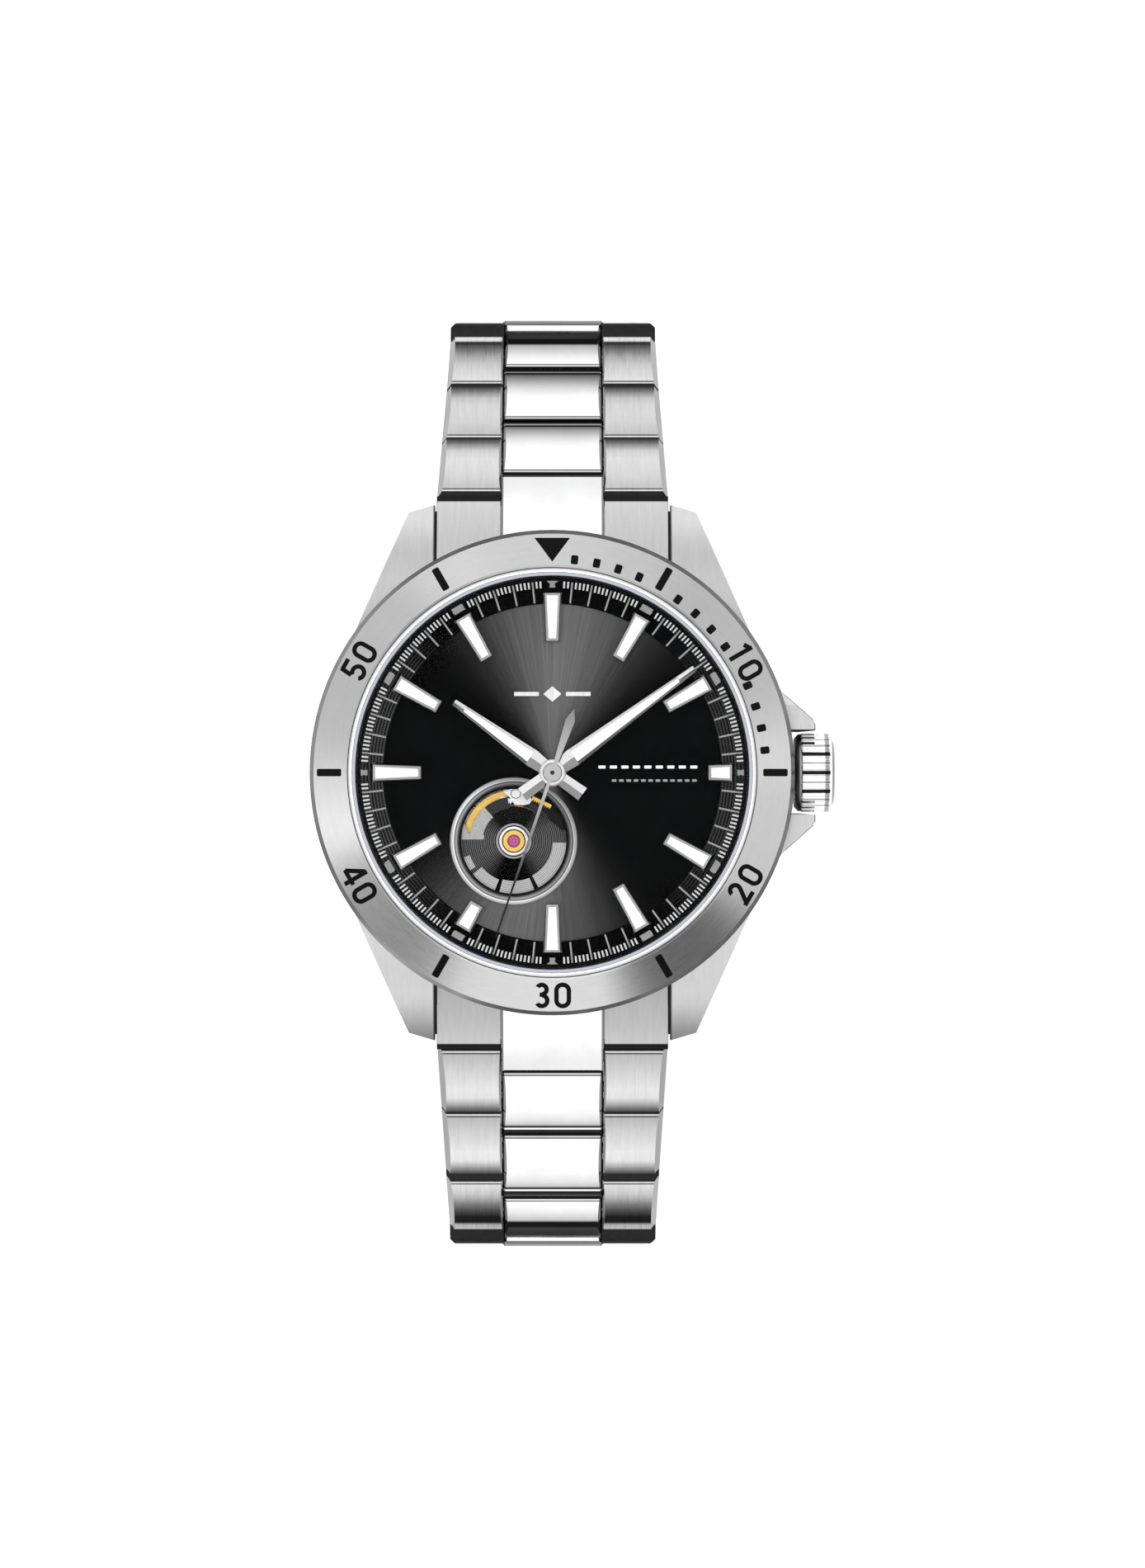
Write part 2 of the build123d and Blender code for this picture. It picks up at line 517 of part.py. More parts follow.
def build_train():
    centre_r, third_pinion_r = pitch_radii(CENTRE_TEETH, THIRD_PINION, THIRD_ARM)
    third_r, fourth_pinion_r = pitch_radii(THIRD_TEETH, FOURTH_PINION, THIRD_ARM)
    fourth_r, escape_pinion_r = pitch_radii(FOURTH_TEETH, ESCAPE_PINION, ESCAPE_ARM)
    barrel_r, centre_pinion_r = pitch_radii(BARREL_TEETH, CENTRE_PINION, BARREL_ARM)
    minute_r, cannon_r = pitch_radii(MINUTE_WHEEL_TEETH, CANNON_TEETH, MOTION_ARM)
    hour_r, minute_pinion_r = pitch_radii(HOUR_TEETH, MINUTE_PINION, MOTION_ARM)

    # centre wheel, its pinion and the cannon pinion that carries the minute hand
    body = wheel(CENTRE_TEETH, centre_r, 4.55, 4.7, 0, 0, THIRD_ANGLE)
    body += gear(CENTRE_PINION, centre_pinion_r, 4.7, 5.12, start=BARREL_ANGLE)
    body += disc(0.5, 4.7, 9.2)
    body += gear(CANNON_TEETH, cannon_r, 6.66, 6.86, start=MOTION_ANGLE)
    body += disc(0.78, 6.86, 8.45)
    body -= disc(0.27, 4, 10)
    save(body, "center_wheel")

    body = gear(HOUR_TEETH, hour_r, 6.92, 7.1, start=MOTION_ANGLE)
    body += disc(1.07, 6.92, 8.75)
    body -= disc(0.84, 6, 9)
    save(body, "hour_wheel")

    start = meshed_start(MINUTE_WHEEL_TEETH, MOTION_ANGLE + 180)
    body = gear(MINUTE_WHEEL_TEETH, minute_r, 6.68, 6.84, MOTION_X, MOTION_Y, start)
    start = meshed_start(MINUTE_PINION, MOTION_ANGLE + 180)
    body += gear(MINUTE_PINION, minute_pinion_r, 6.84, 7.15, MOTION_X, MOTION_Y, start)
    body -= disc(0.33, 6, 8, MOTION_X, MOTION_Y)
    save(body, "minute_wheel")

    # third wheel below the centre wheel, its pinion driven by it
    body = wheel(THIRD_TEETH, third_r, 4.25, 4.4, THIRD_X, THIRD_Y, THIRD_ANGLE + 180, 5)
    start = meshed_start(THIRD_PINION, THIRD_ANGLE + 180)
    body += gear(THIRD_PINION, third_pinion_r, 4.4, 4.75, THIRD_X, THIRD_Y, start)
    body += arbor(THIRD_X, THIRD_Y, 4.0, 5.1)
    save(body, "third_wheel")

    body = wheel(FOURTH_TEETH, fourth_r, 4.0, 4.15, 0, 0, ESCAPE_ANGLE, 5)
    body += gear(FOURTH_PINION, fourth_pinion_r, 4.15, 4.5, start=meshed_start(FOURTH_PINION, THIRD_ANGLE))
    body += disc(0.2, 3.92, 9.62) + disc(0.11, 3.5, 3.92)
    save(body, "fourth_wheel")

    # escape wheel with slender leaning teeth
    tip = 2.2
    points = []
    for i in range(ESCAPE_TEETH):
        a = i * 360 / ESCAPE_TEETH
        points += [polar(1.62, a - 5), polar(tip, a + 3.2), polar(tip, a + 5.2), polar(1.62, a + 2)]
    body = prism(points, 4.9, 5.05)
    window = ring(1.35, 0.55, 4.8, 5.2)
    for i in range(4):
        window -= Rot(0, 0, 90 * i) * box(-0.15, 0.15, 0, 2, 4.7, 5.3)
    body -= window
    body = Pos(ESCAPE_X, ESCAPE_Y, 0) * body
    start = meshed_start(ESCAPE_PINION, ESCAPE_ANGLE + 180)
    body += gear(ESCAPE_PINION, escape_pinion_r, 3.98, 4.3, ESCAPE_X, ESCAPE_Y, start)
    body += arbor(ESCAPE_X, ESCAPE_Y, 3.95, 5.1)
    save(body, "escape_wheel")

    # pallet fork: two stones outside the wheel's tip circle and a lever towards the balance
    out = degrees(TO_ESCAPE)
    distance = hypot(ESCAPE_X - PALLET_X, ESCAPE_Y - PALLET_Y)
    lever = box(-1.78, 0, -0.14, 0.14, 4.9, 5.05)
    lever += box(-1.95, -1.6, -0.34, -0.1, 4.9, 5.05) + box(-1.95, -1.6, 0.1, 0.34, 4.9, 5.05)
    arm = box(-0.16, 0.16, -1.5, 1.5, 4.9, 5.05)
    for sy in (1, -1):
        arm += box(-0.1, 0.42, sy * 1.36 - 0.14, sy * 1.36 + 0.14, 4.9, 5.05)
    clear = disc(tip + 0.06, 4, 6, distance, 0)
    fork = lever + arm + disc(0.32, 4.9, 5.05) + disc(0.18, 4.75, 5.12) + disc(0.11, 5.12, 5.4)
    fork = Pos(PALLET_X, PALLET_Y, 0) * Rot(0, 0, out) * (fork - clear)
    save(fork, "pallet_fork")

    start = meshed_start(BARREL_TEETH, BARREL_ANGLE + 180)
    body = gear(BARREL_TEETH, barrel_r, 4.9, 5.06, BARREL_X, BARREL_Y, start)
    body += disc(4.0, 4.8, 6.0, BARREL_X, BARREL_Y)
    body -= disc(3.75, 4.95, 5.85, BARREL_X, BARREL_Y)
    body += disc(0.58, BRIDGE_LOW + 0.1, 4.8, BARREL_X, BARREL_Y) + disc(0.8, 4.9, 5.9, BARREL_X, BARREL_Y)
    body += disc(0.28, 6.0, 6.5, BARREL_X, BARREL_Y)
    coil = spiral(1.0, 3.6, 7, 0.12, 5.0, 5.8, BARREL_X, BARREL_Y)
    save(group(body, coil), "barrel")


def build_balance():
    x, y = APERTURE_X, APERTURE_Y
    rim = ring(4.55, 3.95, 5.75, 6.3)
    for i in range(3):
        rim += Rot(0, 0, 120 * i + 200) * box(0, 4.1, -0.3, 0.3, 5.85, 6.15)
    for i in range(6):
        rim += Rot(0, 0, 60 * i + 20) * Pos(4.5, 0, 6.0) * Rot(0, 90, 0) * Cylinder(0.16, 0.4)
    rim += disc(0.7, 5.8, 6.25)
    rim += disc(0.2, 4.1, 7.1) + disc(0.11, 3.6, 4.1) + disc(0.11, 7.1, 7.2)
    rim += disc(0.62, 4.92, 5.1)
    rim += Rot(0, 0, degrees(TO_ESCAPE)) * disc(0.09, 4.85, 5.2, 0.5, 0)
    save(Pos(x, y, 0) * rim, "balance_wheel")
    spring = spiral(0.55, 2.1, 7, 0.05, 4.4, 4.6, x, y, APERTURE_ANGLE)
    stud = Pos(x, y, 0) * Rot(0, 0, APERTURE_ANGLE) * box(2.06, 2.4, -0.15, 0.15, BRIDGE_TOP, 4.65)
    save(group(spring + stud), "hairspring")

    # winding rotor: a half disc with a heavy rim
    half = box(-13, 13, -13, 1.6, 1, 4)
    rotor = (disc(11.9, 2.45, 2.75) + ring(11.9, 9.6, 1.75, 2.75)) & half
    slots = ring(9.0, 4.2, 2, 3) & half
    for i in range(5):
        slots -= Rot(0, 0, 180 + 36 * i + 18) * box(0, 10, -0.9, 0.9, 1.9, 3.1)
    slots -= box(-10, 10, -0.2, 3, 1, 4)
    rotor -= slots
    rotor += disc(2.0, 2.1, 2.75)
    rotor -= disc(1.25, 1, 4)
    save(rotor, "rotor")


# ---------------------------------------------------------------- crown
def build_crown():
    cap = bar_x(3.0, 21.9, 22.2, 0, CROWN_Z) + bar_x(CROWN_R, 22.2, 24.7, 0, CROWN_Z)
    cap += Pos(24.7, 0, CROWN_Z) * Rot(0, 90, 0) * Cone(3.35, 2.7, 0.45, align=BASE)
    flute = bar_x(0.28, 22.0, 24.75)
    for i in range(26):
        y, z = polar(CROWN_R + 0.08, (i + 0.5) * 360 / 26)
        cap -= Pos(0, y, CROWN_Z + z) * flute
    cap -= bar_x(1.95, 21.0, 23.9, 0, CROWN_Z)
    stem = bar_x(0.42, 9.9, 22.9, 0, CROWN_Z) + bar_x(0.9, 22.9, 23.88, 0, CROWN_Z)
    save(group(cap, stem), "crown")
    seal = bar_x(1.93, 21.95, 22.35, 0, CROWN_Z) - bar_x(1.62, 21.5, 23.5, 0, CROWN_Z)
    save(seal, "crown_gasket")


# ---------------------------------------------------------------- bracelet
S_EDGE = sqrt(KNUCKLE_R**2 - HALF_THICK**2)
S_SOCKET = sqrt(SOCKET_R**2 - HALF_THICK**2)


def seat(shape, pivot, tilt, side):
    # from the link's own frame (y along the band, z outward) to its place in the closed loop
    placed = Pos(0, pivot[0], pivot[1]) * Rot(-tilt, 0, 0) * shape
    return placed if side > 0 else Rot(0, 0, 180) * placed


def rounded_front(s0, s1, crown):
    # convex knuckle about s0, socket about s1
    t = HALF_THICK
    edges = [
        ThreePointArc((s0 - S_EDGE, t), (s0 - KNUCKLE_R, 0), (s0 - S_EDGE, -t)),
        Line((s0 - S_EDGE, -t), (s1 - S_SOCKET, -t)),
        ThreePointArc((s1 - S_SOCKET, -t), (s1 - SOCKET_R, 0), (s1 - S_SOCKET, t)),
        ThreePointArc((s1 - S_SOCKET, t), ((s0 + s1) / 2 - 1, t + crown), (s0 - S_EDGE, t)),
    ]
    return Plane.YZ * make_face(edges)


def rounded_rear(s0, s1, crown):
    # socket about s0, convex knuckle about s1
    t = HALF_THICK
    edges = [
        ThreePointArc((s0 + S_SOCKET, t), (s0 + SOCKET_R, 0), (s0 + S_SOCKET, -t)),
        Line((s0 + S_SOCKET, -t), (s1 + S_EDGE, -t)),
        ThreePointArc((s1 + S_EDGE, -t), (s1 + KNUCKLE_R, 0), (s1 + S_EDGE, t)),
        ThreePointArc((s1 + S_EDGE, t), ((s0 + s1) / 2 + 1, t + crown), (s0 + S_SOCKET, t)),
    ]
    return Plane.YZ * make_face(edges)


def outer_link(inner, w0, w1, face):
    t = HALF_THICK
    section = [(0, -2.2), (w0 - 0.25, -2.2), (w0, -t + 0.25), (w0, t - 0.4), (w0 - 0.6, t + 0.2), (0, t + 0.2)]
    start = Plane.XZ * Polygon(*section, align=None)
    slant = (w1 - w0) / PITCH
    long = Pos(-3 * slant, -3, 0) * extrude(start, amount=13, dir=(slant, 1, 0))
    block = extrude(face, amount=30, both=True) & long
    block &= box(inner, 12, -4, 10, -3, 3)
    lip = Pos(inner, 0, t + 0.2) * Rot(0, 45, 0) * Box(0.42, 30, 0.42)
    return block - lip


def centre_link(half, face):
    t = HALF_THICK
    right = [(half, -2.2), (half, t - 0.25), (half - 0.45, t + 0.3)]
    section = right + [(-x, z) for x, z in reversed(right)]
    section = Plane.XZ * Polygon(*section, align=None)
    return extrude(face, amount=30, both=True) & (Pos(0, -4, 0) * extrude(section, amount=16, dir=(0, 1, 0)))


def build_link(index, side, pivot, tilt, name, last):
    half = CENTRE_HALF[index]
    w0, w1 = OUTER_HALF[index], OUTER_HALF[index + 1]
    right = outer_link(half + SIDE_GAP, w0, w1, rounded_front(0, PITCH, 0.12))
    frame = right + mirrored_x(right)
    reach = min(w0, w1) - 0.6
    frame += bar_x(PIN_R, -reach, reach) + bar_x(0.5, -reach, reach, PITCH / 2)
    centre = centre_link(half, rounded_rear(0, PITCH, 0.2))
    centre -= bar_x(0.52, -6, 6, PITCH / 2) + bar_x(PIN_HOLE_R, -6, 6, PITCH)
    pieces = [frame, centre]
    if last and side < 0:
        pieces.append(bar_x(PIN_R, -9.0, 9.0, PITCH))
    save(group(*[seat(piece, pivot, tilt, side) for piece in pieces]), name)


def step_on(pivot, tilt):
    return (pivot[0] + PITCH * cos(radians(tilt)), pivot[1] - PITCH * sin(radians(tilt)))


def build_bracelet():
    for side, start, tilts in ((1, PIVOT_12, TILTS_12), (-1, PIVOT_6, TILTS_6)):
        hour = "12" if side > 0 else "6"
        pivot = start
        for index, tilt in enumerate(tilts):
            build_link(index, side, pivot, tilt, f"link_{hour}_{index + 1}", index == len(tilts) - 1)
            pivot = step_on(pivot, tilt)
        build_end_link(side, start, hour)
        print("end of", hour, pivot)


def build_end_link(side, pivot, hour):
    t = HALF_THICK
    half = 4.6
    drop = S_EDGE
    back = -9.0
    outers = Plane.YZ * make_face(
        [
            Line((back, -t), (-S_SOCKET, -t)),
            ThreePointArc((-S_SOCKET, -t), (-SOCKET_R, 0), (-S_SOCKET, t)),
            ThreePointArc((-S_SOCKET, t), (-4.5, t + 0.1), (back, t - 0.3)),
            Line((back, t - 0.3), (back, -t)),
        ]
    )
    tongue = Plane.YZ * make_face(
        [
            Line((back, -t), (drop, -t)),
            ThreePointArc((drop, -t), (KNUCKLE_R, 0), (drop, t)),
            ThreePointArc((drop, t), (-4.0, t + 0.15), (back, t - 0.2)),
            Line((back, t - 0.2), (back, -t)),
        ]
    )
    right = extrude(outers, amount=30, both=True) & box(half, 10.35, -12, 4, -3, 3)
    middle = extrude(tongue, amount=30, both=True) & box(-half, half, -12, 4, -3, 3)
    body = right + mirrored_x(right) + middle
    for sx in (1, -1):
        body -= box(sx * half - 0.07, sx * half + 0.07, -12, 4, t - 0.35, 3)
        body -= box(sx * half - 0.06, sx * half + 0.06, -SOCKET_R - 0.05, 4, -3, 3)
    body -= bar_x(PIN_HOLE_R, -6, 6)
    body -= bar_x(0.8, -12, 12, -3.3)
    placed = seat(body, pivot, END_TILTS[side], side) - disc(CASE_R + 0.1, -5, 15)
    save(placed, f"end_link_{hour}")


def build_spring_bars():
    bars = []
    for sy in (1, -1):
        y, z = spring_bar_place(sy)
        bar = bar_x(0.7, -10.1, 10.1, y, z) + bar_x(0.4, -11.6, 11.6, y, z)
        bars.append(bar)
    save(group(*bars), "spring_bars")


# ---------------------------------------------------------------- folding clasp
def on_arc(y, radius=CLASP_R):
    return (y, CLASP_CENTRE_Z - sqrt(radius**2 - y**2))


def leaf(r0, r1, y0, y1, x0, x1):
    # a curved strip between two radii and two y planes
    o = CLASP_CENTRE_Z
    mid = (y0 + y1) / 2

    def at(y, r):
        return (y, o - sqrt(r * r - y * y))

    edges = [
        ThreePointArc(at(y0, r0), at(mid, r0), at(y1, r0)),
        Line(at(y1, r0), at(y1, r1)),
        ThreePointArc(at(y1, r1), at(mid, r1), at(y0, r1)),
        Line(at(y0, r1), at(y0, r0)),
    ]
    return Pos(x0, 0, 0) * extrude(Plane.YZ * make_face(edges), amount=x1 - x0, dir=(1, 0, 0))


def knuckle(radius, x0, x1, place):
    return bar_x(radius, x0, x1, place[0], place[1])


def build_clasp(end_12, end_6):
    d = end_12
    b = on_arc(HINGE_B_Y, CLASP_R + 0.6)
    c = on_arc(HINGE_C_Y, CLASP_R - 0.4)
    r = CLASP_R

    # inner leaf, held to the last link of the 12 o'clock half
    inner = leaf(r - 1.4, r - 0.6, HINGE_C_Y, d[0] - 2.1, -3.9, 3.9)
    inner += leaf(r - 1.4, r - 0.6, d[0] - 3.5, d[0] - 2.1, -6.3, 6.3)
    for sx in (1, -1):
        x0, x1 = sorted((sx * 4.75, sx * 6.3))
        inner += leaf(r - 1.4, r - 0.6, d[0] - 3.5, d[0], x0, x1)
        inner += knuckle(1.4, x0, x1, d)
    inner += knuckle(PIN_R, -6.3, 6.3, d)
    inner += knuckle(1.0, -4.8, 4.8, c)
    inner -= knuckle(0.56, -7, 7, c)
    save(inner, "clasp_blade_2")

    # middle leaf
    middle = leaf(r - 0.2, r + 0.6, HINGE_C_Y + 1.5, HINGE_B_Y, -6.4, 6.4)
    for sx in (1, -1):
        x0, x1 = sorted((sx * 4.9, sx * 6.4))
        middle += leaf(r - 0.2, r + 0.4, HINGE_C_Y, HINGE_C_Y + 1.6, x0, x1)
        middle += knuckle(1.0, x0, x1, c)
    middle += knuckle(0.5, -6.4, 6.4, c)
    middle += knuckle(1.1, -6.4, 6.4, b)
    middle -= knuckle(PIN_HOLE_R, -7, 7, b)
    middle -= box(-4.0, 4.0, -9, 9, -45, -20)
    save(middle, "clasp_blade_1")

    # cover: a roof with two side walls, the pin it folds on
    low_y = -27.0
    cover = leaf(r + 1.95, r + 2.9, low_y, b[0] + 0.3, -COVER_HALF, COVER_HALF)
    for sx in (1, -1):
        x0, x1 = sorted((sx * COVER_INNER, sx * COVER_HALF))
        cover += leaf(r - 1.3, r + 2.9, low_y, b[0] + 0.3, x0, x1)
        cover += knuckle(1.5, x0, x1, b)
    cover += knuckle(PIN_R, -COVER_INNER - 0.1, COVER_INNER + 0.1, b)
    button_place = on_arc(-8.0, CLASP_R + 0.4)
    at_y, at_z = button_place[0], button_place[1]
    opening = Pos(0, at_y, at_z) * Box(30, 4.1, 1.7)
    cover -= opening
    save(cover, "clasp_cover")
    for sx, name in ((1, "clasp_button_right"), (-1, "clasp_button_left")):
        x0, x1 = sorted((sx * 9.5, sx * 10.9))
        tab = box(x0, x1, at_y - 2.0, at_y + 2.0, at_z - 0.8, at_z + 0.8)
        x0, x1 = sorted((sx * 8.2, sx * 8.9))
        tab += box(x0, x1, at_y - 2.5, at_y + 2.5, at_z - 0.8, at_z + 0.8)
        x0, x1 = sorted((sx * 8.8, sx * 9.6))
        tab += box(x0, x1, at_y - 1.5, at_y + 1.5, at_z - 0.6, at_z + 0.6)
        save(tab, name)
    print("hinges", "b", b, "c", c, "d", d, "a", end_6, "button", button_place)


def end_of(pivot, tilts):
    for tilt in tilts:
        pivot = step_on(pivot, tilt)
    return pivot


build_case()
build_case_back()
build_bezel()
build_dial()
build_markers()
build_hands()
build_plates()
build_train()
build_balance()
build_crown()
build_bracelet()
build_spring_bars()
build_clasp(end_of(PIVOT_12, TILTS_12), end_of(PIVOT_6, TILTS_6))
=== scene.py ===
import json
import math

import bpy
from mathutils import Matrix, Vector
from mathutils.bvhtree import BVHTree

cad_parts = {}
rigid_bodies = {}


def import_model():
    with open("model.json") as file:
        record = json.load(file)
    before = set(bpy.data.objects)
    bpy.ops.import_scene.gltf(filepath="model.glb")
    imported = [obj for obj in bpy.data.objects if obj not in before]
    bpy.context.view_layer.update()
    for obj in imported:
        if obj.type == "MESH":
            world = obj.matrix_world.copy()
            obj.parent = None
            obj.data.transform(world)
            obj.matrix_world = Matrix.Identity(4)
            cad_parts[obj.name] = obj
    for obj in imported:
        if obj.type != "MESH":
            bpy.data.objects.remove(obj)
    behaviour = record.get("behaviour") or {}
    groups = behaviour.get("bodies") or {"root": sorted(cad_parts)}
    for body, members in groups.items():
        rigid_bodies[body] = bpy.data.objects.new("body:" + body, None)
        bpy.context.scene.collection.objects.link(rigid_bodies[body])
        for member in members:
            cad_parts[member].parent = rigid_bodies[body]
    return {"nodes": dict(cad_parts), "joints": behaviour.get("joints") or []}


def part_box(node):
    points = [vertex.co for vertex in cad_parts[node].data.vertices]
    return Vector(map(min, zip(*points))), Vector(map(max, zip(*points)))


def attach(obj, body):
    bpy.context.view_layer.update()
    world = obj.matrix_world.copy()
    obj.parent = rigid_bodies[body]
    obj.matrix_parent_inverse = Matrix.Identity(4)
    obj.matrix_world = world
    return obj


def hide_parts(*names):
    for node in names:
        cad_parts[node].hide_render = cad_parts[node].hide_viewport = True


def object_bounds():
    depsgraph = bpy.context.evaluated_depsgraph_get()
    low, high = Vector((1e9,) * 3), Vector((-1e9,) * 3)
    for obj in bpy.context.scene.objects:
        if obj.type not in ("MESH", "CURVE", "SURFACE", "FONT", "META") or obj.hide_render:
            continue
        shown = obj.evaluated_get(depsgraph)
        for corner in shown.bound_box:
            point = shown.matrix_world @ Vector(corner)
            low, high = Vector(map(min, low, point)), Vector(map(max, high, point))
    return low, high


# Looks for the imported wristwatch. Lengths in this file are millimetres, turned to metres when a mesh is made.
# +Z is the dial normal, +X is 3 o'clock, +Y is 12 o'clock. Dial angles run clockwise from 12.

for old in list(bpy.data.objects):
    bpy.data.objects.remove(old)

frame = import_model()
NODES = frame["nodes"]
CAD_LOW, CAD_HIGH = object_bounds()
MM = 0.001


def box_mm(node):
    low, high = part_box(node)
    return low / MM, high / MM


def middle(node):
    low, high = box_mm(node)
    return (low + high) / 2


APERTURE = middle("aperture_frame")
AX, AY = APERTURE.x, APERTURE.y
CROWN = middle("crown")
CROWN_Z = CROWN.z
CENTRE_HALF = [4.55, 4.5, 4.45, 4.4, 4.35, 4.3, 4.3, 4.3, 4.3]  # half width of each polished centre link
END_CENTRE_HALF = 4.55
HOUR_ANGLE = 305.6
MINUTE_ANGLE = 53.8


# ---------------------------------------------------------------- material helpers
# The tone functions below paint light and dark onto the steel. Their values were set by comparing the
# brightness of renders with the photograph, so a painted highlight moves with its part.
class Paint:
    """A Principled material, with short names for the nodes that feed it. Coordinates are in millimetres."""

    def __init__(self, name, **values):
        self.mat = bpy.data.materials.new(name)
        self.mat.use_nodes = True
        self.tree = self.mat.node_tree
        self.tree.nodes.clear()
        self.shader = self.add("ShaderNodeBsdfPrincipled")
        out = self.add("ShaderNodeOutputMaterial")
        self.tree.links.new(self.shader.outputs[0], out.inputs[0])
        for key, value in values.items():
            self.shader.inputs[key.replace("_", " ")].default_value = value
        scale = self.add("ShaderNodeVectorMath", operation="SCALE")
        scale.inputs["Scale"].default_value = 1 / MM
        self.tree.links.new(self.add("ShaderNodeTexCoord").outputs["Object"], scale.inputs[0])
        self.at = scale.outputs[0]
        split = self.add("ShaderNodeSeparateXYZ")
        self.tree.links.new(self.at, split.inputs[0])
        self.x, self.y, self.z = split.outputs

    def add(self, kind, **settings):
        node = self.tree.nodes.new(kind)
        for key, value in settings.items():
            setattr(node, key, value)
        return node

    def feed(self, socket, value):
        if isinstance(value, (int, float, tuple)):
            socket.default_value = value
        else:
            self.tree.links.new(value, socket)

    def math(self, operation, a, b=None, c=None):
        node = self.add("ShaderNodeMath", operation=operation)
        for socket, value in zip(node.inputs, (a, b, c)):
            if value is not None:
                self.feed(socket, value)
        return node.outputs[0]

    def vector(self, x, y, z):
        node = self.add("ShaderNodeCombineXYZ")
        for socket, value in zip(node.inputs, (x, y, z)):
            self.feed(socket, value)
        return node.outputs[0]

    def scaled(self, value, k):
        return self.math("MULTIPLY", value, k)

    def polar(self, x, y, cx=0.0, cy=0.0):
        """Radius, and the direction cosines, about a centre."""
        dx, dy = self.math("SUBTRACT", x, cx), self.math("SUBTRACT", y, cy)
        squares = self.math("ADD", self.math("MULTIPLY", dx, dx), self.math("MULTIPLY", dy, dy))
        radius = self.math("MAXIMUM", self.math("SQRT", squares), 0.001)
        return radius, self.math("DIVIDE", dx, radius), self.math("DIVIDE", dy, radius)

    def noise(self, vector, scale=1.0, detail=2.0, rough=0.5):
        node = self.add("ShaderNodeTexNoise")
        self.feed(node.inputs["Vector"], vector)
        node.inputs["Scale"].default_value = scale
        node.inputs["Detail"].default_value = detail
        node.inputs["Roughness"].default_value = rough
        return node.outputs["Fac"]

    def band(self, value, a, b, c, d, smooth=True):
        node = self.add("ShaderNodeMapRange", interpolation_type="SMOOTHSTEP" if smooth else "LINEAR")
        for socket, number in zip(node.inputs, (None, a, b, c, d)):
            if number is not None:
                socket.default_value = number
        self.feed(node.inputs["Value"], value)
        return node.outputs["Result"]

    def tint(self, colour, value):
        """A colour times a number that varies over the surface."""
        node = self.add("ShaderNodeMix", data_type="RGBA", blend_type="MULTIPLY")
        node.inputs["Factor"].default_value = 1.0
        node.inputs["A"].default_value = (*colour, 1.0)
        self.feed(node.inputs["B"], value)
        return node.outputs["Result"]

    def colour(self, value):
        self.feed(self.shader.inputs["Base Color"], value)

    def rough(self, value):
        self.feed(self.shader.inputs["Roughness"], value)

    def bump(self, height, strength, distance):
        node = self.add("ShaderNodeBump")
        node.inputs["Strength"].default_value = strength
        node.inputs["Distance"].default_value = distance * MM
        self.feed(node.inputs["Height"], height)
        self.feed(self.shader.inputs["Normal"], node.outputs[0])

    def ramp(self, value, stops):
        """A number that follows straight lines between (place, value) stops."""
        node = self.add("ShaderNodeValToRGB")
        points = node.color_ramp.elements
        for i, (place, level) in enumerate(stops):
            point = points[i] if i < 2 else points.new(place)
            point.position = place
            point.color = (level, level, level, 1.0)
        self.feed(node.inputs[0], value)
        return node.outputs[0]

    def tangent(self, value):
        self.feed(self.shader.inputs["Tangent"], value)

    def tangent_round(self):
        node = self.add("ShaderNodeTangent", direction_type="RADIAL", axis="Z")
        self.tangent(node.outputs[0])


def grain(p, kind, fine):
    """A coordinate that varies fast across the grain and slowly along it."""
    if kind == "along":
        return p.vector(p.scaled(p.x, fine), p.scaled(p.y, 0.35), p.scaled(p.z, 0.35))
    if kind == "round":
        radius, ux, uy = p.polar(p.x, p.y)
        return p.vector(p.scaled(radius, fine), p.scaled(ux, 14), p.scaled(uy, 14))
    if kind == "balance":
        radius, ux, uy = p.polar(p.x, p.y, AX, AY)
        return p.vector(p.scaled(radius, fine), p.scaled(ux, 6), p.scaled(uy, 6))
    if kind == "crown":
        radius, ux, uy = p.polar(p.y, p.z, 0, CROWN_Z)
        return p.vector(p.scaled(radius, fine), p.scaled(ux, 5), p.scaled(uy, 5))
    return p.vector(p.scaled(p.x, fine / 3), p.scaled(p.y, fine / 3), p.scaled(p.z, fine / 3))


def brushed(name, shade, kind="along", rough=0.3, contrast=0.3, fine=9.0, stretch=0.7, turn=0.0, tone=None):
    """Satin metal; tone(p) may return a number that lightens or darkens it from place to place."""
    p = Paint(name, Metallic=1.0, Anisotropic=stretch, Anisotropic_Rotation=turn)
    coarse = p.noise(grain(p, kind, fine * 0.35), 1.0, 3.0, 0.6)
    thin = p.noise(grain(p, kind, fine * 1.6), 1.0, 2.0, 0.6)
    streak = p.math("ADD", p.scaled(coarse, 0.45), p.scaled(thin, 0.55))
    level = p.band(streak, 0.25, 0.75, 1 - contrast / 2, 1 + contrast / 2, False)
    if tone:
        level = p.math("MULTIPLY", level, tone(p))
    p.colour(p.tint(shade, level))
    p.rough(p.band(thin, 0.2, 0.8, rough * 0.8, rough * 1.25, False))
    p.bump(streak, 0.12, 0.02)
    if kind == "along":
        p.tangent(p.vector(1.0, 0.0, 0.0))
    else:
        p.tangent_round()
    return p.mat


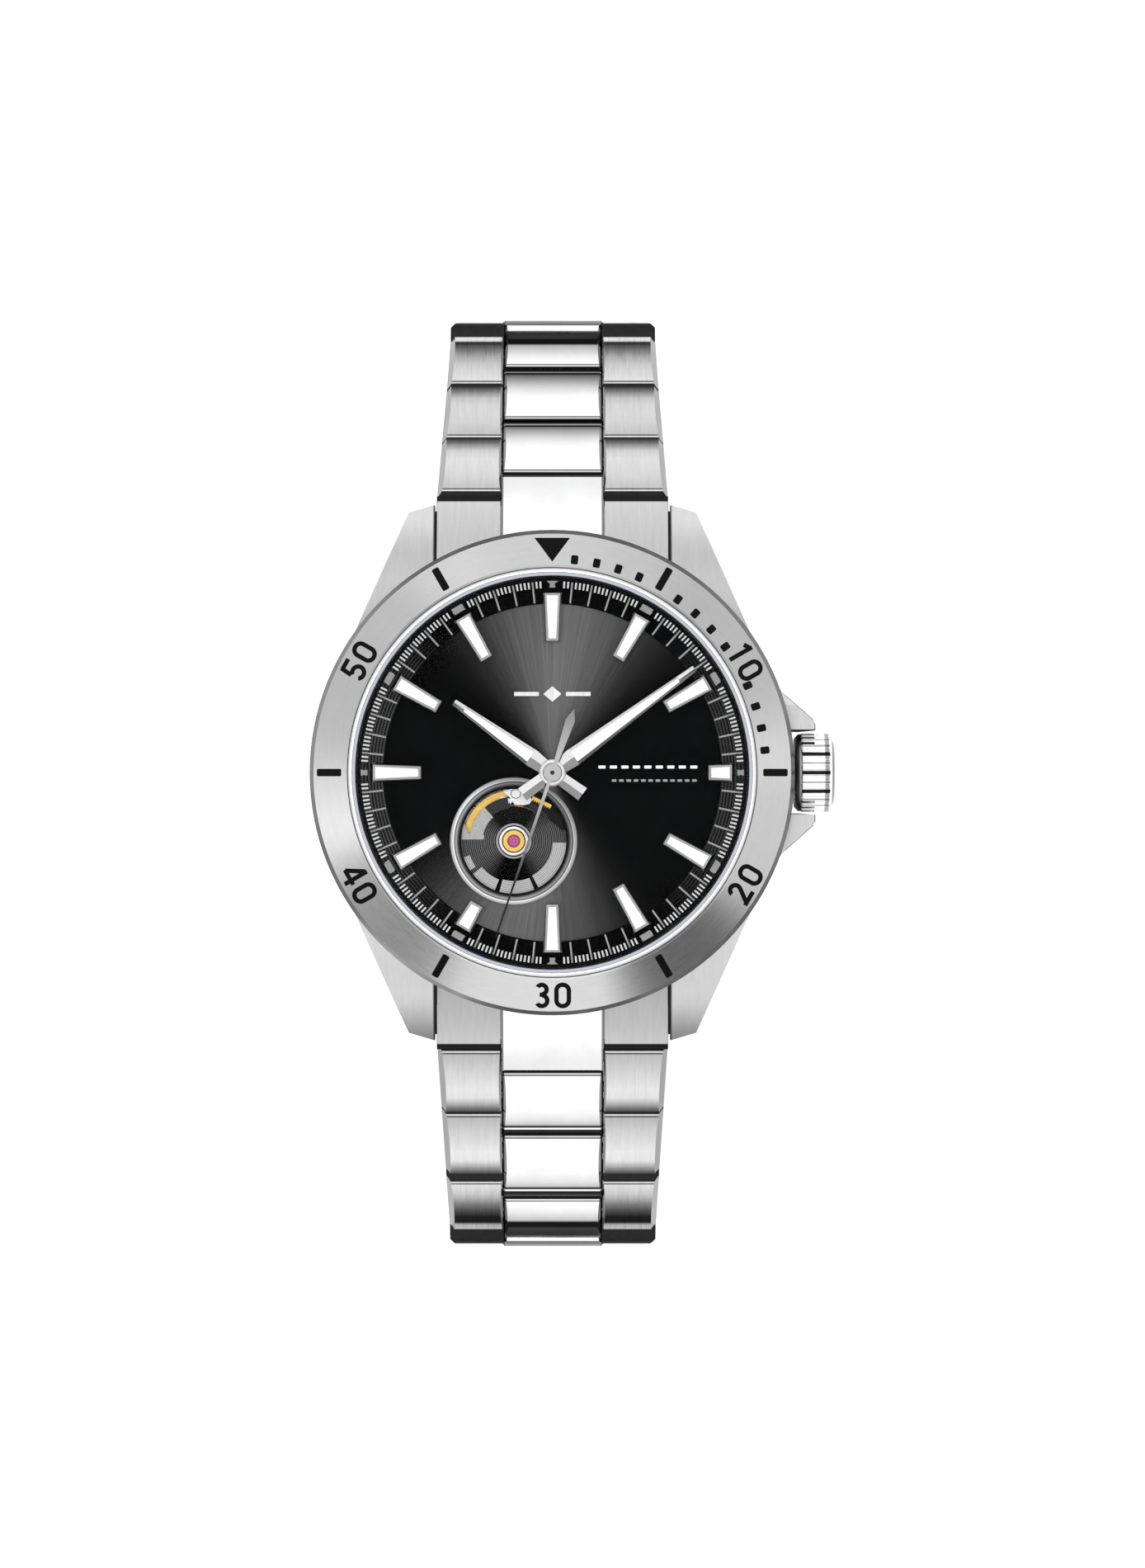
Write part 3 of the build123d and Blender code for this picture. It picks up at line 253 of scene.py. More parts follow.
def polished(name, shade, rough=0.07, kind="any", tone=None):
    """Bright metal with the faint hairlines and handling haze that polishing leaves."""
    p = Paint(name, Metallic=1.0)
    haze = p.noise(p.at, 0.35, 3.0, 0.6)
    hair = p.noise(grain(p, kind, 14.0), 1.0, 1.0, 0.5)
    level = p.band(haze, 0.3, 0.7, 0.95, 1.03, False)
    if tone:
        level = p.math("MULTIPLY", level, tone(p))
    p.colour(p.tint(shade, level))
    p.rough(p.math("ADD", p.band(haze, 0.35, 0.7, rough * 0.7, rough * 1.3),
                   p.band(hair, 0.62, 0.75, 0.0, 0.05)))
    return p.mat


def plain(name, shade, rough, metallic=0.0, grain_mm=4.0, contrast=0.15, bump=0.1, **values):
    """A surface with a fine even grain: lacquer, rubber, blasted metal, luminous filling."""
    p = Paint(name, Metallic=metallic, **values)
    p.shader.inputs["Emission Color"].default_value = (1.0, 1.0, 1.0, 1.0)
    speck = p.noise(p.at, grain_mm, 3.0, 0.6)
    p.colour(p.tint(shade, p.band(speck, 0.3, 0.7, 1 - contrast / 2, 1 + contrast / 2, False)))
    p.rough(p.band(speck, 0.3, 0.7, rough * 0.85, rough * 1.15, False))
    p.bump(speck, bump, 0.02)
    return p.mat


def angle_lobe(p, ux, uy, clockwise, width, smooth=True):
    """1 towards a dial angle, falling to 0 at width degrees to each side."""
    a = math.radians(clockwise)
    facing = p.math("ADD", p.scaled(ux, math.sin(a)), p.scaled(uy, math.cos(a)))
    return p.band(facing, math.cos(math.radians(width)), 1.0, 0.0, 1.0, smooth)


def sunray_dial():
    p = Paint("dial_sunray", Metallic=0.5, Anisotropic=0.5, Roughness=0.42, Specular_IOR_Level=0.015)
    radius, ux, uy = p.polar(p.x, p.y)
    rays = p.noise(p.vector(p.scaled(ux, 55), p.scaled(uy, 55), p.scaled(radius, 0.06)), 1.0, 4.0, 0.7)
    broad = p.noise(p.vector(p.scaled(ux, 9), p.scaled(uy, 9), 0.0), 1.0, 2.0, 0.5)
    # painted sheen: the dial's colour is brighter in wedges towards 12 and 6 o'clock
    top = angle_lobe(p, ux, uy, 3.0, 58, False)
    low = angle_lobe(p, ux, uy, 193.0, 60, False)
    soft = p.math("MULTIPLY_ADD", broad, 0.3, 0.85)
    sheen = p.math("MULTIPLY", p.math("ADD", p.math("POWER", top, 4.0), p.math("POWER", low, 4.0)), soft)
    texture = p.band(rays, 0.25, 0.75, 0.72, 1.28, False)
    level = p.math("MULTIPLY_ADD", p.math("MULTIPLY", sheen, texture), 0.17, 0.0015)
    p.colour(p.tint((1.0, 1.0, 1.01), level))
    p.tangent_round()
    return p.mat


def grooved_black(name, cx, cy, pitch, lobes, strength, base=0.004):
    """Black with fine circular grooves, and a painted sheen on them across two opposite sectors."""
    p = Paint(name, Roughness=0.65, Specular_IOR_Level=0.02)
    radius, ux, uy = p.polar(p.x, p.y, cx, cy)
    wave = p.math("SINE", p.scaled(radius, 2 * math.pi / pitch))
    line = p.band(wave, -0.4, 0.9, 0.15, 1.0)
    level = base
    for clockwise, width, share in lobes:
        lit = p.math("MULTIPLY", p.math("POWER", angle_lobe(p, ux, uy, clockwise, width), 1.3), line)
        level = p.math("ADD", p.scaled(lit, strength * share), level)
    p.colour(p.tint((1.0, 1.0, 1.02), level))
    p.bump(wave, 0.04, 0.02)
    return p.mat


def grooved_silver():
    """Pale metal turned with the same fine circular grooves as the aperture's black plate."""
    p = Paint("silver_grooved", Metallic=0.8)
    radius, _, _ = p.polar(p.x, p.y, AX, AY)
    line = p.band(p.math("SINE", p.scaled(radius, 2 * math.pi / 0.17)), -1.0, 0.2, 0.5, 1.0)
    speck = p.noise(p.at, 6.0, 2.0, 0.6)
    p.colour(p.tint((0.6, 0.6, 0.6), p.math("MULTIPLY", line, p.band(speck, 0.3, 0.7, 0.92, 1.08, False))))
    p.rough(p.band(speck, 0.3, 0.7, 0.35, 0.5, False))
    return p.mat


def bezel_tone(p):
    """Painted light and dark, in the bow-tie pattern of circular brushing under an even light."""
    _, ux, uy = p.polar(p.x, p.y)
    level = p.scaled(p.noise(p.vector(p.scaled(ux, 2.5), p.scaled(uy, 2.5), 0.0), 1.0, 1.0), 0.14)
    level = p.math("ADD", level, 0.95)
    for clockwise, width, depth in ((144, 25, 0.72), (228, 28, 0.46), (50, 42, 0.36), (298, 46, 0.33),
                                    (110, 30, 0.2), (258, 20, -0.15), (358, 34, 0.24)):
        lobe = p.math("POWER", angle_lobe(p, ux, uy, clockwise, width), 1.2)
        level = p.math("MULTIPLY", level, p.math("MULTIPLY_ADD", lobe, -depth, 1.0))
    return level


def edge_tone(p):
    """Painted satin chamfer: brightest towards 7 o'clock, dark towards 4, with softer glints between."""
    _, ux, uy = p.polar(p.x, p.y)
    level = 0.58
    for clockwise, width, rise in (
        (85, 42, 0.32), (128, 26, -0.4), (166, 26, 0.2), (188, 16, -0.28),
        (211, 26, 1.35), (245, 24, -0.15), (289, 40, 0.55),
    ):
        level = p.math("MULTIPLY_ADD", angle_lobe(p, ux, uy, clockwise, width), rise, level)
    return level


def aperture_ring():
    """Painted light and shade on the aperture ring's turned steps: bright outer rim, thin dark line, grey
    slope, dark inner wall; darker towards 1 and 4 o'clock.
    """
    p = Paint("steel_aperture_ring", Metallic=0.55, Specular_IOR_Level=0.1)
    radius, ux, uy = p.polar(p.x, p.y, AX, AY)
    stops = [(4.7, 0.01), (4.9, 0.012), (4.95, 0.26), (5.2, 0.38), (5.24, 0.1), (5.29, 0.1), (5.34, 0.9),
             (5.58, 1.0), (5.64, 0.5), (5.69, 0.12)]
    level = p.ramp(p.band(radius, 4.7, 5.69, 0.0, 1.0, False), [((r - 4.7) / 0.99, v) for r, v in stops])
    for clockwise, width, depth in ((30, 85, 0.6), (120, 50, 0.25)):
        level = p.math("MULTIPLY", level,
                       p.math("MULTIPLY_ADD", angle_lobe(p, ux, uy, clockwise, width), -depth, 1.0))
    haze = p.noise(grain(p, "balance", 8.0), 1.0, 2.0)
    shade = p.tint((0.9, 0.9, 0.905), p.math("MULTIPLY", level, p.band(haze, 0.3, 0.7, 0.95, 1.05)))
    p.colour(shade)
    # the emission is a painted glow that brightens the ring
    p.feed(p.shader.inputs["Emission Color"], shade)
    p.shader.inputs["Emission Strength"].default_value = 0.2
    p.rough(p.band(haze, 0.3, 0.7, 0.3, 0.4))
    return p.mat


def second_tone(p):
    """The seconds hand, pale at its hub and dark towards its tip."""
    radius, _, _ = p.polar(p.x, p.y)
    stops = [(0.0, 1.0), (2.0, 0.95), (5.0, 0.6), (8.0, 0.3), (10.5, 0.05), (16.0, 0.03)]
    return p.ramp(p.band(radius, 0.0, 16.0, 0.0, 1.0, False), [(r / 16, v) for r, v in stops])


# painted light and shade along the crown, as (x, level) stops
CROWN_STOPS = [(22.0, 0.35), (22.25, 0.4), (22.33, 1.0), (24.2, 1.0), (24.3, 0.42), (24.6, 0.36),
               (24.67, 1.0), (24.86, 1.0), (24.93, 0.22),
               (25.02, 0.2), (25.06, 0.5), (25.15, 0.5)]
# the crown's flutes, and the ones whose painted shade is wide, counted from the flute on top
FLUTES = 26
FLUTE_R = 3.58
DEEP_FLUTES = (-2, 0, 2)


def crown_tone(p):
    """Painted light and shade along the crown: white teeth, a grey slope, and a bright rim with a thin dark
    line.
    """
    return p.ramp(p.band(p.x, 22.0, 25.15, 0.0, 1.0, False), [((x - 22.0) / 3.15, v) for x, v in CROWN_STOPS])


def crown_flutes():
    """Crown teeth with painted shade in the flutes that face up: wide in three, thin in the rest."""
    p = Paint("steel_crown_flute", Metallic=0.3)
    level = crown_tone(p)
    for flute in range(-5, 6):
        place = FLUTE_R * math.sin(flute * math.tau / FLUTES)
        half, shade = (0.15, 0.01) if flute in DEEP_FLUTES else (0.05, 0.3)
        off = p.math("ABSOLUTE", p.math("SUBTRACT", p.y, place))
        level = p.math("MULTIPLY", level, p.band(off, half, half + 0.04, shade, 1.0))
    haze = p.noise(p.at, 2.0, 2.0)
    shade = p.tint((0.9, 0.9, 0.905), p.math("MULTIPLY", level, p.band(haze, 0.3, 0.7, 0.96, 1.04)))
    p.colour(shade)
    # the emission is a painted glow that keeps the teeth white
    p.feed(p.shader.inputs["Emission Color"], shade)
    p.shader.inputs["Emission Strength"].default_value = 0.35
    p.shader.inputs["Specular IOR Level"].default_value = 0.1
    p.rough(p.band(haze, 0.3, 0.7, 0.25, 0.35))
    return p.mat


# painted shade: the crown's rear face is darker next to the bezel
def skirt_tone(p):
    return p.band(p.x, 21.6, 22.15, 0.14, 0.4, False)


def lug_tone(p):
    """Painted: lugs darken where they turn down, and dark lines edge the crown guards."""
    stops = [(-24.5, 0.27), (-23, 0.5), (-22, 0.72), (-20.5, 1.06), (-19.5, 1.16), (-12, 1.16), (-8, 1.02),
             (8, 1.04), (14, 0.73), (18.5, 0.73),
             (19.5, 0.78), (20.5, 0.87), (21.5, 1.0), (22.5, 1.13), (24.5, 1.15)]
    level = p.scaled(p.ramp(p.band(p.y, -24.5, 24.5, 0.0, 1.0, False),
                            [((y + 24.5) / 49, v / 1.2) for y, v in stops]), 1.2)
    # painted shade along the lugs' inner edges beside the end links
    out = p.math("ABSOLUTE", p.y)
    inner = p.math("MAXIMUM", p.band(p.math("ABSOLUTE", p.x), 10.56, 10.74, 0.15, 1.0),
                   p.band(out, 15.0, 14.0, 0.0, 1.0))
    slope = p.math("ADD", p.scaled(p.x, 0.664), p.scaled(out, 0.747))
    guard = p.math("MULTIPLY", p.band(slope, 18.84, 18.9, 1.0, 0.5), p.band(p.x, 23.28, 23.34, 1.0, 0.3))
    upper = p.math("MAXIMUM", p.band(p.y, 3.8, 3.88, 0.04, 1.0), p.band(p.y, -1.0, 0.0, 1.0, 0.0))
    lower = p.math("MAXIMUM", p.band(p.y, -3.74, -3.68, 1.0, 0.3), p.band(p.y, -1.0, 0.0, 0.0, 1.0))
    guard = p.math("MULTIPLY", guard, p.math("MULTIPLY", upper, lower))
    guard = p.math("MAXIMUM", guard, p.band(p.x, 20.6, 21.0, 1.0, 0.0))
    return p.math("MULTIPLY", p.math("MULTIPLY", level, inner), guard)


def end_link_tone(p):
    """A pale link between the lugs, with painted shade along a seam at each side of its outer rows, lighter
    towards its end, and a painted shadow across its tip.
    """
    across = p.math("ABSOLUTE", p.x)
    seam = p.math("MULTIPLY", p.band(across, 10.26, 10.36, 1.0, 0.12), p.band(across, 4.5, 4.72, 0.3, 1.0))
    out = p.math("ABSOLUTE", p.y)
    level = p.math("MULTIPLY", p.band(out, 19.0, 24.0, 0.82, 1.15, False),
                   p.band(out, 24.2, 24.32, 1.0, 0.03))
    return p.math("MULTIPLY", seam, level)


def striped_plate(name, shade, pitch, direction=35.0, rough=0.28):
    """Rhodium plate with the broad straight stripes of a finished movement."""
    p = Paint(name, Metallic=1.0, Anisotropic=0.4)
    a = math.radians(direction)
    across = p.math("ADD", p.scaled(p.x, math.cos(a)), p.scaled(p.y, math.sin(a)))
    along = p.math("SUBTRACT", p.scaled(p.y, math.cos(a)), p.scaled(p.x, math.sin(a)))
    saw = p.math("FRACT", p.scaled(across, 1 / pitch))
    thin = p.noise(p.vector(p.scaled(across, 0.6), p.scaled(along, 9.0), p.scaled(saw, 2.0)), 1.0, 2.0, 0.6)
    wave = p.band(saw, 0.0, 1.0, 0.62, 1.08, False)
    p.colour(p.tint(shade, p.math("MULTIPLY", wave, p.band(thin, 0.3, 0.7, 0.9, 1.1, False))))
    p.rough(p.band(saw, 0.0, 1.0, rough * 1.3, rough * 0.8, False))
    p.bump(p.math("ADD", saw, p.scaled(thin, 0.4)), 0.2, 0.02)
    return p.mat


def clear_crystal():
    """Anti-reflection coated sapphire: nearly invisible face on, and brighter at a grazing look."""
    p = Paint("sapphire_clear", IOR=1.6, Specular_IOR_Level=0.6)
    p.colour(p.tint((0.012, 0.014, 0.02), p.band(p.noise(p.at, 0.2, 2.0), 0.3, 0.7, 0.8, 1.2)))
    p.rough(p.band(p.noise(p.at, 0.5, 2.0), 0.3, 0.7, 0.012, 0.03))
    edge = p.add("ShaderNodeLayerWeight")
    edge.inputs["Blend"].default_value = 0.22
    p.feed(p.shader.inputs["Alpha"], p.band(edge.outputs["Facing"], 0.0, 1.0, 0.02, 0.6, False))
    return p.mat


def geared_gilt():
    p = Paint("gilt_grained", Metallic=1.0)
    speck = p.noise(p.at, 6.0, 3.0, 0.6)
    slow = p.noise(p.at, 0.8, 2.0, 0.5)
    p.colour(p.tint((0.86, 0.56, 0.15), p.band(p.math("ADD", speck, slow), 0.7, 1.3, 0.85, 1.12, False)))
    p.rough(p.band(speck, 0.3, 0.7, 0.2, 0.32, False))
    p.bump(speck, 0.15, 0.01)
    return p.mat


def ruby_stone():
    p = Paint("ruby_stone", IOR=1.76, Coat_Weight=0.6, Coat_Roughness=0.05)
    radius, _, _ = p.polar(p.x, p.y, AX, AY)
    # painted rings of light and dark across the stone
    rings = p.math("SINE", p.scaled(radius, 24.0))
    glow = p.band(rings, -1.0, 1.0, 0.55, 1.5)
    p.colour(p.tint((0.55, 0.015, 0.30), glow))
    p.rough(p.band(p.noise(p.at, 5.0), 0.3, 0.7, 0.08, 0.16))
    return p.mat


STEEL = (0.66, 0.66, 0.665)
LINK_STEEL = (0.8, 0.8, 0.805)
# brighter steel for the outer rows of the last link seen from above: painted light
LAST_STEEL = (0.95, 0.95, 0.955)
BRIGHT = (0.87, 0.87, 0.875)
M = {
    "band": brushed("steel_brushed_long", STEEL),
    "lug": brushed("steel_brushed_lug", (0.56, 0.56, 0.565), contrast=0.22, tone=lug_tone),
    "end_band": brushed("steel_brushed_end_link", (0.5, 0.5, 0.505), contrast=0.22, tone=end_link_tone),
    "link_flank": brushed("steel_brushed_link_flank", (0.36, 0.36, 0.365), contrast=0.25),
    "gap": plain("steel_joint_shadow", (0.02, 0.02, 0.021), 0.35, 0.6, 2.0, 0.3, 0.2, Specular_IOR_Level=0.1),
    "bezel": brushed("steel_brushed_round", (0.62, 0.62, 0.625), "round", 0.3, 0.13, 9.0, 0.6, 0.25,
                     bezel_tone),
    "bezel_edge": brushed("steel_satin_edge", (0.13, 0.13, 0.132), "round", 0.35, 0.3, 5.0, 0.3, 0.25,
                          edge_tone),
    "flank": brushed("steel_brushed_flank", (0.6, 0.6, 0.605), "round", 0.32, 0.2, 6.0, 0.4, 0.25),
    "bright": polished("steel_polished", BRIGHT),
    "centre": polished("steel_polished_links", (0.9, 0.9, 0.905), 0.05, "along"),
    "crown": polished("steel_polished_crown", (0.86, 0.86, 0.865), 0.08, "crown", crown_tone),
    "crown_end": polished("steel_crown_end", (0.55, 0.55, 0.555), 0.16, "crown"),
    "skirt": brushed("steel_crown_skirt", (0.9, 0.9, 0.905), "crown", 0.4, 0.2, 6.0, 0.0, tone=skirt_tone),
    "hand": brushed("steel_faceted_hand", (0.74, 0.74, 0.745), "any", 0.16, 0.06, 6.0, 0.0),
    # a darker copy of the hand steel: painted shade on one facet of each hand
    "hand_painted_shade": brushed("steel_faceted_hand_shade", (0.29, 0.29, 0.295), "any", 0.16, 0.08, 6.0, 0.0),
    "second": brushed("steel_seconds_hand", (0.5, 0.5, 0.505), "any", 0.2, 0.1, 6.0, 0.0, tone=second_tone),
    "shaft": brushed("steel_shaft", (0.05, 0.05, 0.052), "any", 0.2, 0.2, 6.0, 0.0),
    "frame": brushed("steel_marker_frame", (0.37, 0.37, 0.375), "any", 0.2, 0.1, 6.0, 0.0),
    "emblem": brushed("steel_brushed_emblem", (0.8, 0.8, 0.8), "along", 0.25, 0.5, 9.0, 0.4),
    # lume and print: their emission is a painted glow that brightens them
    "lume": plain("lume_white", (0.93, 0.94, 0.93), 0.6, contrast=0.04, bump=0.1, grain_mm=9.0,
                  Emission_Strength=0.4),
    "print_white": plain("print_white", (0.9, 0.9, 0.9), 0.5, contrast=0.08, Emission_Strength=0.3),
    "print_grey": plain("print_grey", (0.3, 0.3, 0.305), 0.5, contrast=0.1, Specular_IOR_Level=0.1,
                        Emission_Strength=0.17),
    "black": plain("black_lacquer_marks", (0.003, 0.003, 0.0035), 0.28, contrast=0.6, grain_mm=1.2,
                   bump=0.08, Specular_IOR_Level=0.07),
    "dial": sunray_dial(),
    "chapter": grooved_black("chapter_grooves", 0.0, 0.0, 0.28, [(92, 55, 0.9), (268, 58, 1.2)], 0.08,
                             0.0008),
    "snail": grooved_black("aperture_grooves", AX, AY, 0.17, [(95, 70, 1.0), (265, 66, 1.0), (0, 60, 0.08)],
                           0.2, 0.0008),
    "arc_silver": grooved_silver(),
    "blasted": plain("silver_blasted", (0.52, 0.52, 0.52), 0.5, 0.6, 9.0, 0.5, 0.4),
    # the bridge's emission is a painted glow that brightens it
    "bridge": plain("silver_bridge", (0.85, 0.85, 0.85), 0.4, 0.5, 7.0, 0.5, 0.4, Emission_Strength=0.12),
    "line": plain("jewel_setting_line", (0.12, 0.06, 0.02), 0.4, 0.3, 6.0, 0.3, 0.1, Specular_IOR_Level=0.1),
    "sector": plain("dark_sector", (0.045, 0.045, 0.047), 0.5, 0.5, 5.0, 0.5, 0.3, Specular_IOR_Level=0.1),
    "shade": plain("movement_shade", (0.018, 0.018, 0.019), 0.5, 0.5, 3.0, 0.8, 0.3, Specular_IOR_Level=0.1),
    "rhodium": striped_plate("rhodium_striped", (0.72, 0.72, 0.74), 1.9),
    "rotor": striped_plate("rotor_striped", (0.76, 0.76, 0.78), 1.4, 60.0),
    "plate": plain("rhodium_blasted", (0.62, 0.62, 0.64), 0.36, 1.0, 5.0, 0.2, 0.3),
    "gilt": geared_gilt(),
    "ruby": ruby_stone(),
    "crystal": clear_crystal(),
    # the case's pale ring under the bezel's inner edge: its emission is a painted glow that keeps it white
    "neck": plain("steel_neck", (0.93, 0.93, 0.93), 0.4, 0.2, 3.0, 0.04, 0.05, Emission_Strength=0.22),
    "aperture_ring": aperture_ring(),
    "flute": crown_flutes(),
    "nylon": plain("gasket_nylon", (0.5, 0.52, 0.6), 0.35, contrast=0.08, grain_mm=2.0),
    "rubber": plain("gasket_rubber", (0.02, 0.02, 0.021), 0.7, contrast=0.3),
    "spring": plain("hairspring_steel", (0.35, 0.37, 0.48), 0.3, 1.0, 6.0, 0.2, 0.1),
    "blade": polished("steel_polished_blade", (0.8, 0.8, 0.805), 0.1, "along"),
}


# ---------------------------------------------------------------- CAD nodes get their finish
def finish_node(node, names, choose=None):
    """Gives a CAD node its materials; choose(centre, normal, reach) picks one, reach being farthest |x|."""
    mesh = NODES[node].data
    mesh.materials.clear()
    for name in names:
        mesh.materials.append(M[name])
    for polygon in mesh.polygons:
        index = 0
        if choose:
            reach = max(abs(mesh.vertices[v].co.x) for v in polygon.vertices) / MM
            index = choose(polygon.center / MM, polygon.normal, reach)
        polygon.material_index = index


def flat_radius(c, x=0.0, y=0.0):
    return math.hypot(c.x - x, c.y - y)


JOINT_AT = {joint["name"]: Vector(joint.get("pos_m", (0, 0, 0))) / MM for joint in frame["joints"]}
# painted tone along a link, from the joint nearest the case (0) to the far one (1)
OUTER_TONE = [(0.0, 0.9), (0.02, 0.9), (0.03, 0.15), (0.045, 0.15), (0.06, 0.62), (0.3, 0.8), (0.62, 1.0),
              (0.76, 0.95), (0.85, 0.58),
              (0.93, 0.25), (1.0, 0.05)]
CENTRE_TONE = [(0.0, 0.02), (0.02, 0.02), (0.03, 0.7), (0.045, 0.7), (0.052, 0.1), (0.065, 0.1),
               (0.075, 0.95), (0.4, 1.0),
               (0.66, 0.92), (0.8, 0.74), (0.875, 0.5), (0.89, 0.03), (0.915, 0.03), (0.925, 1.0),
               (0.945, 1.0), (0.955, 0.02), (1.0, 0.02)]
# painted light and shade on the last link seen from above, which rolls over towards the wrist
LAST_OUTER_TONE = {
    "12": [(0.0, 0.9), (0.02, 0.9), (0.03, 0.15), (0.045, 0.15), (0.06, 0.95), (0.25, 1.0), (0.38, 1.0),
           (0.54, 0.8), (0.69, 0.34),
           (0.83, 0.05), (0.88, 0.05), (0.9, 1.0), (0.98, 1.0), (1.0, 0.08)],
    "6": [(0.0, 0.9), (0.02, 0.9), (0.03, 0.15), (0.045, 0.15), (0.06, 0.85), (0.22, 0.8), (0.32, 0.65),
          (0.44, 0.36), (0.58, 0.14),
          (0.72, 0.02), (0.84, 0.02), (0.9, 0.7), (0.98, 0.8), (1.0, 0.08)],
}
LAST_CENTRE_TONE = [(0.0, 0.02), (0.02, 0.02), (0.03, 0.9), (0.045, 0.9), (0.052, 0.1), (0.065, 0.1),
                    (0.075, 1.0), (0.44, 1.0),
                    (0.48, 0.02), (0.57, 0.03), (0.62, 0.22), (0.76, 0.25), (0.79, 1.0), (0.88, 1.0),
                    (0.91, 0.1), (1.0, 0.3)]


PIN_KNUCKLE_R = 1.75  # the round nose at the near end of each link


def link_finish(side, number, half):
    """Brushed outer rows, a polished centre row and joint faces in painted shadow, each with painted light and
    shade along its own link.
    """
    node = f"link_{side}_{number}"
    here = JOINT_AT[f"link_{side}_{number}_bend"]
    if number < 9:
        along = JOINT_AT[f"link_{side}_{number + 1}_bend"] - here
    else:
        along = here - JOINT_AT[f"link_{side}_{number - 1}_bend"]
    along.normalize()
    face = Vector((0, -along.z, along.y)) * (1 if side == "12" else -1)
    mesh = NODES[node].data
    spans = {0: [9.0, -9.0], 1: [9.0, -9.0]}
    kinds = []
    for polygon in mesh.polygons:
        reach = max(abs(mesh.vertices[v].co.x) for v in polygon.vertices) / MM
        row = int(reach < half + 0.03)
        facing = polygon.normal.dot(face)
        from_pin = polygon.center / MM - here
        from_pin.x = 0.0
        round_pin = abs(from_pin.length - PIN_KNUCKLE_R) < 0.05 and from_pin.dot(along) < 0.45
        if abs(polygon.normal.x) < 0.3 and (abs(facing) < 0.82 or round_pin):
            kinds.append(2)
        elif facing < -0.8:
            kinds.append(3)
        elif abs(polygon.normal.x) > 0.2 and not row:
            kinds.append(4)
        else:
            kinds.append(row)
            if facing > 0.9:
                for v in polygon.vertices:
                    s = (mesh.vertices[v].co / MM - here).dot(along)
                    spans[row] = [min(spans[row][0], s), max(spans[row][1], s)]
    def shade(row, stops):
        start, stop = spans[row]

        def tone(p):
            s = p.math("ADD", p.scaled(p.math("SUBTRACT", p.y, here.y), along.y),
                       p.scaled(p.math("SUBTRACT", p.z, here.z), along.z))
            level = p.ramp(p.band(s, start, stop, 0.0, 1.0, False), stops)
            across = p.math("ABSOLUTE", p.x)
            if row:
                return p.math("MULTIPLY", level, p.band(across, half - 0.14, half - 0.05, 1.0, 0.15))
            return p.math("MULTIPLY", level, p.band(across, half + 0.1, half + 0.2, 0.3, 1.0))

        return tone

    last = number == 3
    outer = brushed(f"steel_{node}_outer", LINK_STEEL if not last else LAST_STEEL,
                    tone=shade(0, LAST_OUTER_TONE[side] if last else OUTER_TONE))
    centre = polished(f"steel_{node}_centre", (0.9, 0.9, 0.905), 0.05, "along",
                      shade(1, LAST_CENTRE_TONE if last else CENTRE_TONE))
    mesh.materials.clear()
    for material in (outer, centre, M["gap"], M["band"], M["link_flank"]):
        mesh.materials.append(material)
    for polygon, kind in zip(mesh.polygons, kinds):
        polygon.material_index = kind


# painted light and shade on the end link's polished centre: darker towards its tip, a dark strip at the tip
# with a thin painted highlight in it, and darker along its sides
def end_centre_tone(node):
    low, high = box_mm(node)
    tip = max(abs(low.y), abs(high.y))

    def tone(p):
        out = p.math("ABSOLUTE", p.y)
        across = p.math("ABSOLUTE", p.x)
        end = p.math("MULTIPLY", p.band(out, tip - 0.42, tip - 0.36, 1.0, 0.02),
                     p.band(out, tip - 4.0, tip - 0.4, 1.0, 0.8))
        rim = p.band(p.math("ABSOLUTE", p.math("SUBTRACT", out, tip - 0.28)), 0.02, 0.06, 0.7, 0.0)
        side = p.band(across, END_CENTRE_HALF - 0.2, END_CENTRE_HALF - 0.1, 1.0, 0.25)
        return p.math("MULTIPLY", p.math("ADD", end, rim), side)

    return tone


def end_link_face(c, n, reach):
    if abs(n.x) < 0.3 and n.z < 0.6:
        return 2
    return int(reach < END_CENTRE_HALF)


for side in ("12", "6"):
    for number, half in enumerate(CENTRE_HALF, 1):
        link_finish(side, number, half)
    end_centre = polished(f"steel_end_link_{side}_centre", (0.9, 0.9, 0.905), 0.05, "along",
                          end_centre_tone(f"end_link_{side}"))
    finish_node(f"end_link_{side}", ["end_band", "centre", "gap"], end_link_face)
    NODES[f"end_link_{side}"].data.materials[1] = end_centre


def case_face(c, n, reach):
    if flat_radius(c) < 17.8 and c.z > 7.0 and (n.z < 0.5 or c.z < 11):
        return 3
    if flat_radius(c) < 18.08 and c.z > 9.0:
        return 5
    if 10.3 < abs(c.x) < 10.7 and abs(n.x) > 0.9:
        return 4
    if c.x > 16 and abs(c.y) < 1.7 and abs(c.z - CROWN_Z) < 1.7 and abs(c.x) > 20.7:
        return 1
    if flat_radius(c) > 20.3 and abs(n.z) < 0.3 and flat_radius(c) < 20.8:
        return 2
    return 0


BEZEL_TOP = box_mm("bezel")[1].z


# the bezel's outer chamfer and inner bevel take the painted chamfer shading, and its steep inner wall the
# painted joint shadow
def bezel_face(c, n, reach):
    r = flat_radius(c)
    if r > 21.1:
        return 1
    if r < 18.32 and n.z < 0.9:
        return 1 if n.z > 0.1 else 2
    return 0


MARKER_TOP = box_mm("hour_markers")[1].z


def marker_face(c, n, reach):
    if abs(c.z - (MARKER_TOP - 0.03)) < 0.004 and n.z > 0.9:
        return 1
    if flat_radius(c) < 9.5:
        return 2
    return 0


def crown_face(c, n, reach):
    if c.x < 22.3:
        return 2
    if n.x > 0.9 and c.x > 25.1:
        return 3
    return int(abs(n.x) < 0.3 and math.hypot(c.y - CROWN.y, c.z - CROWN_Z) < 3.44)


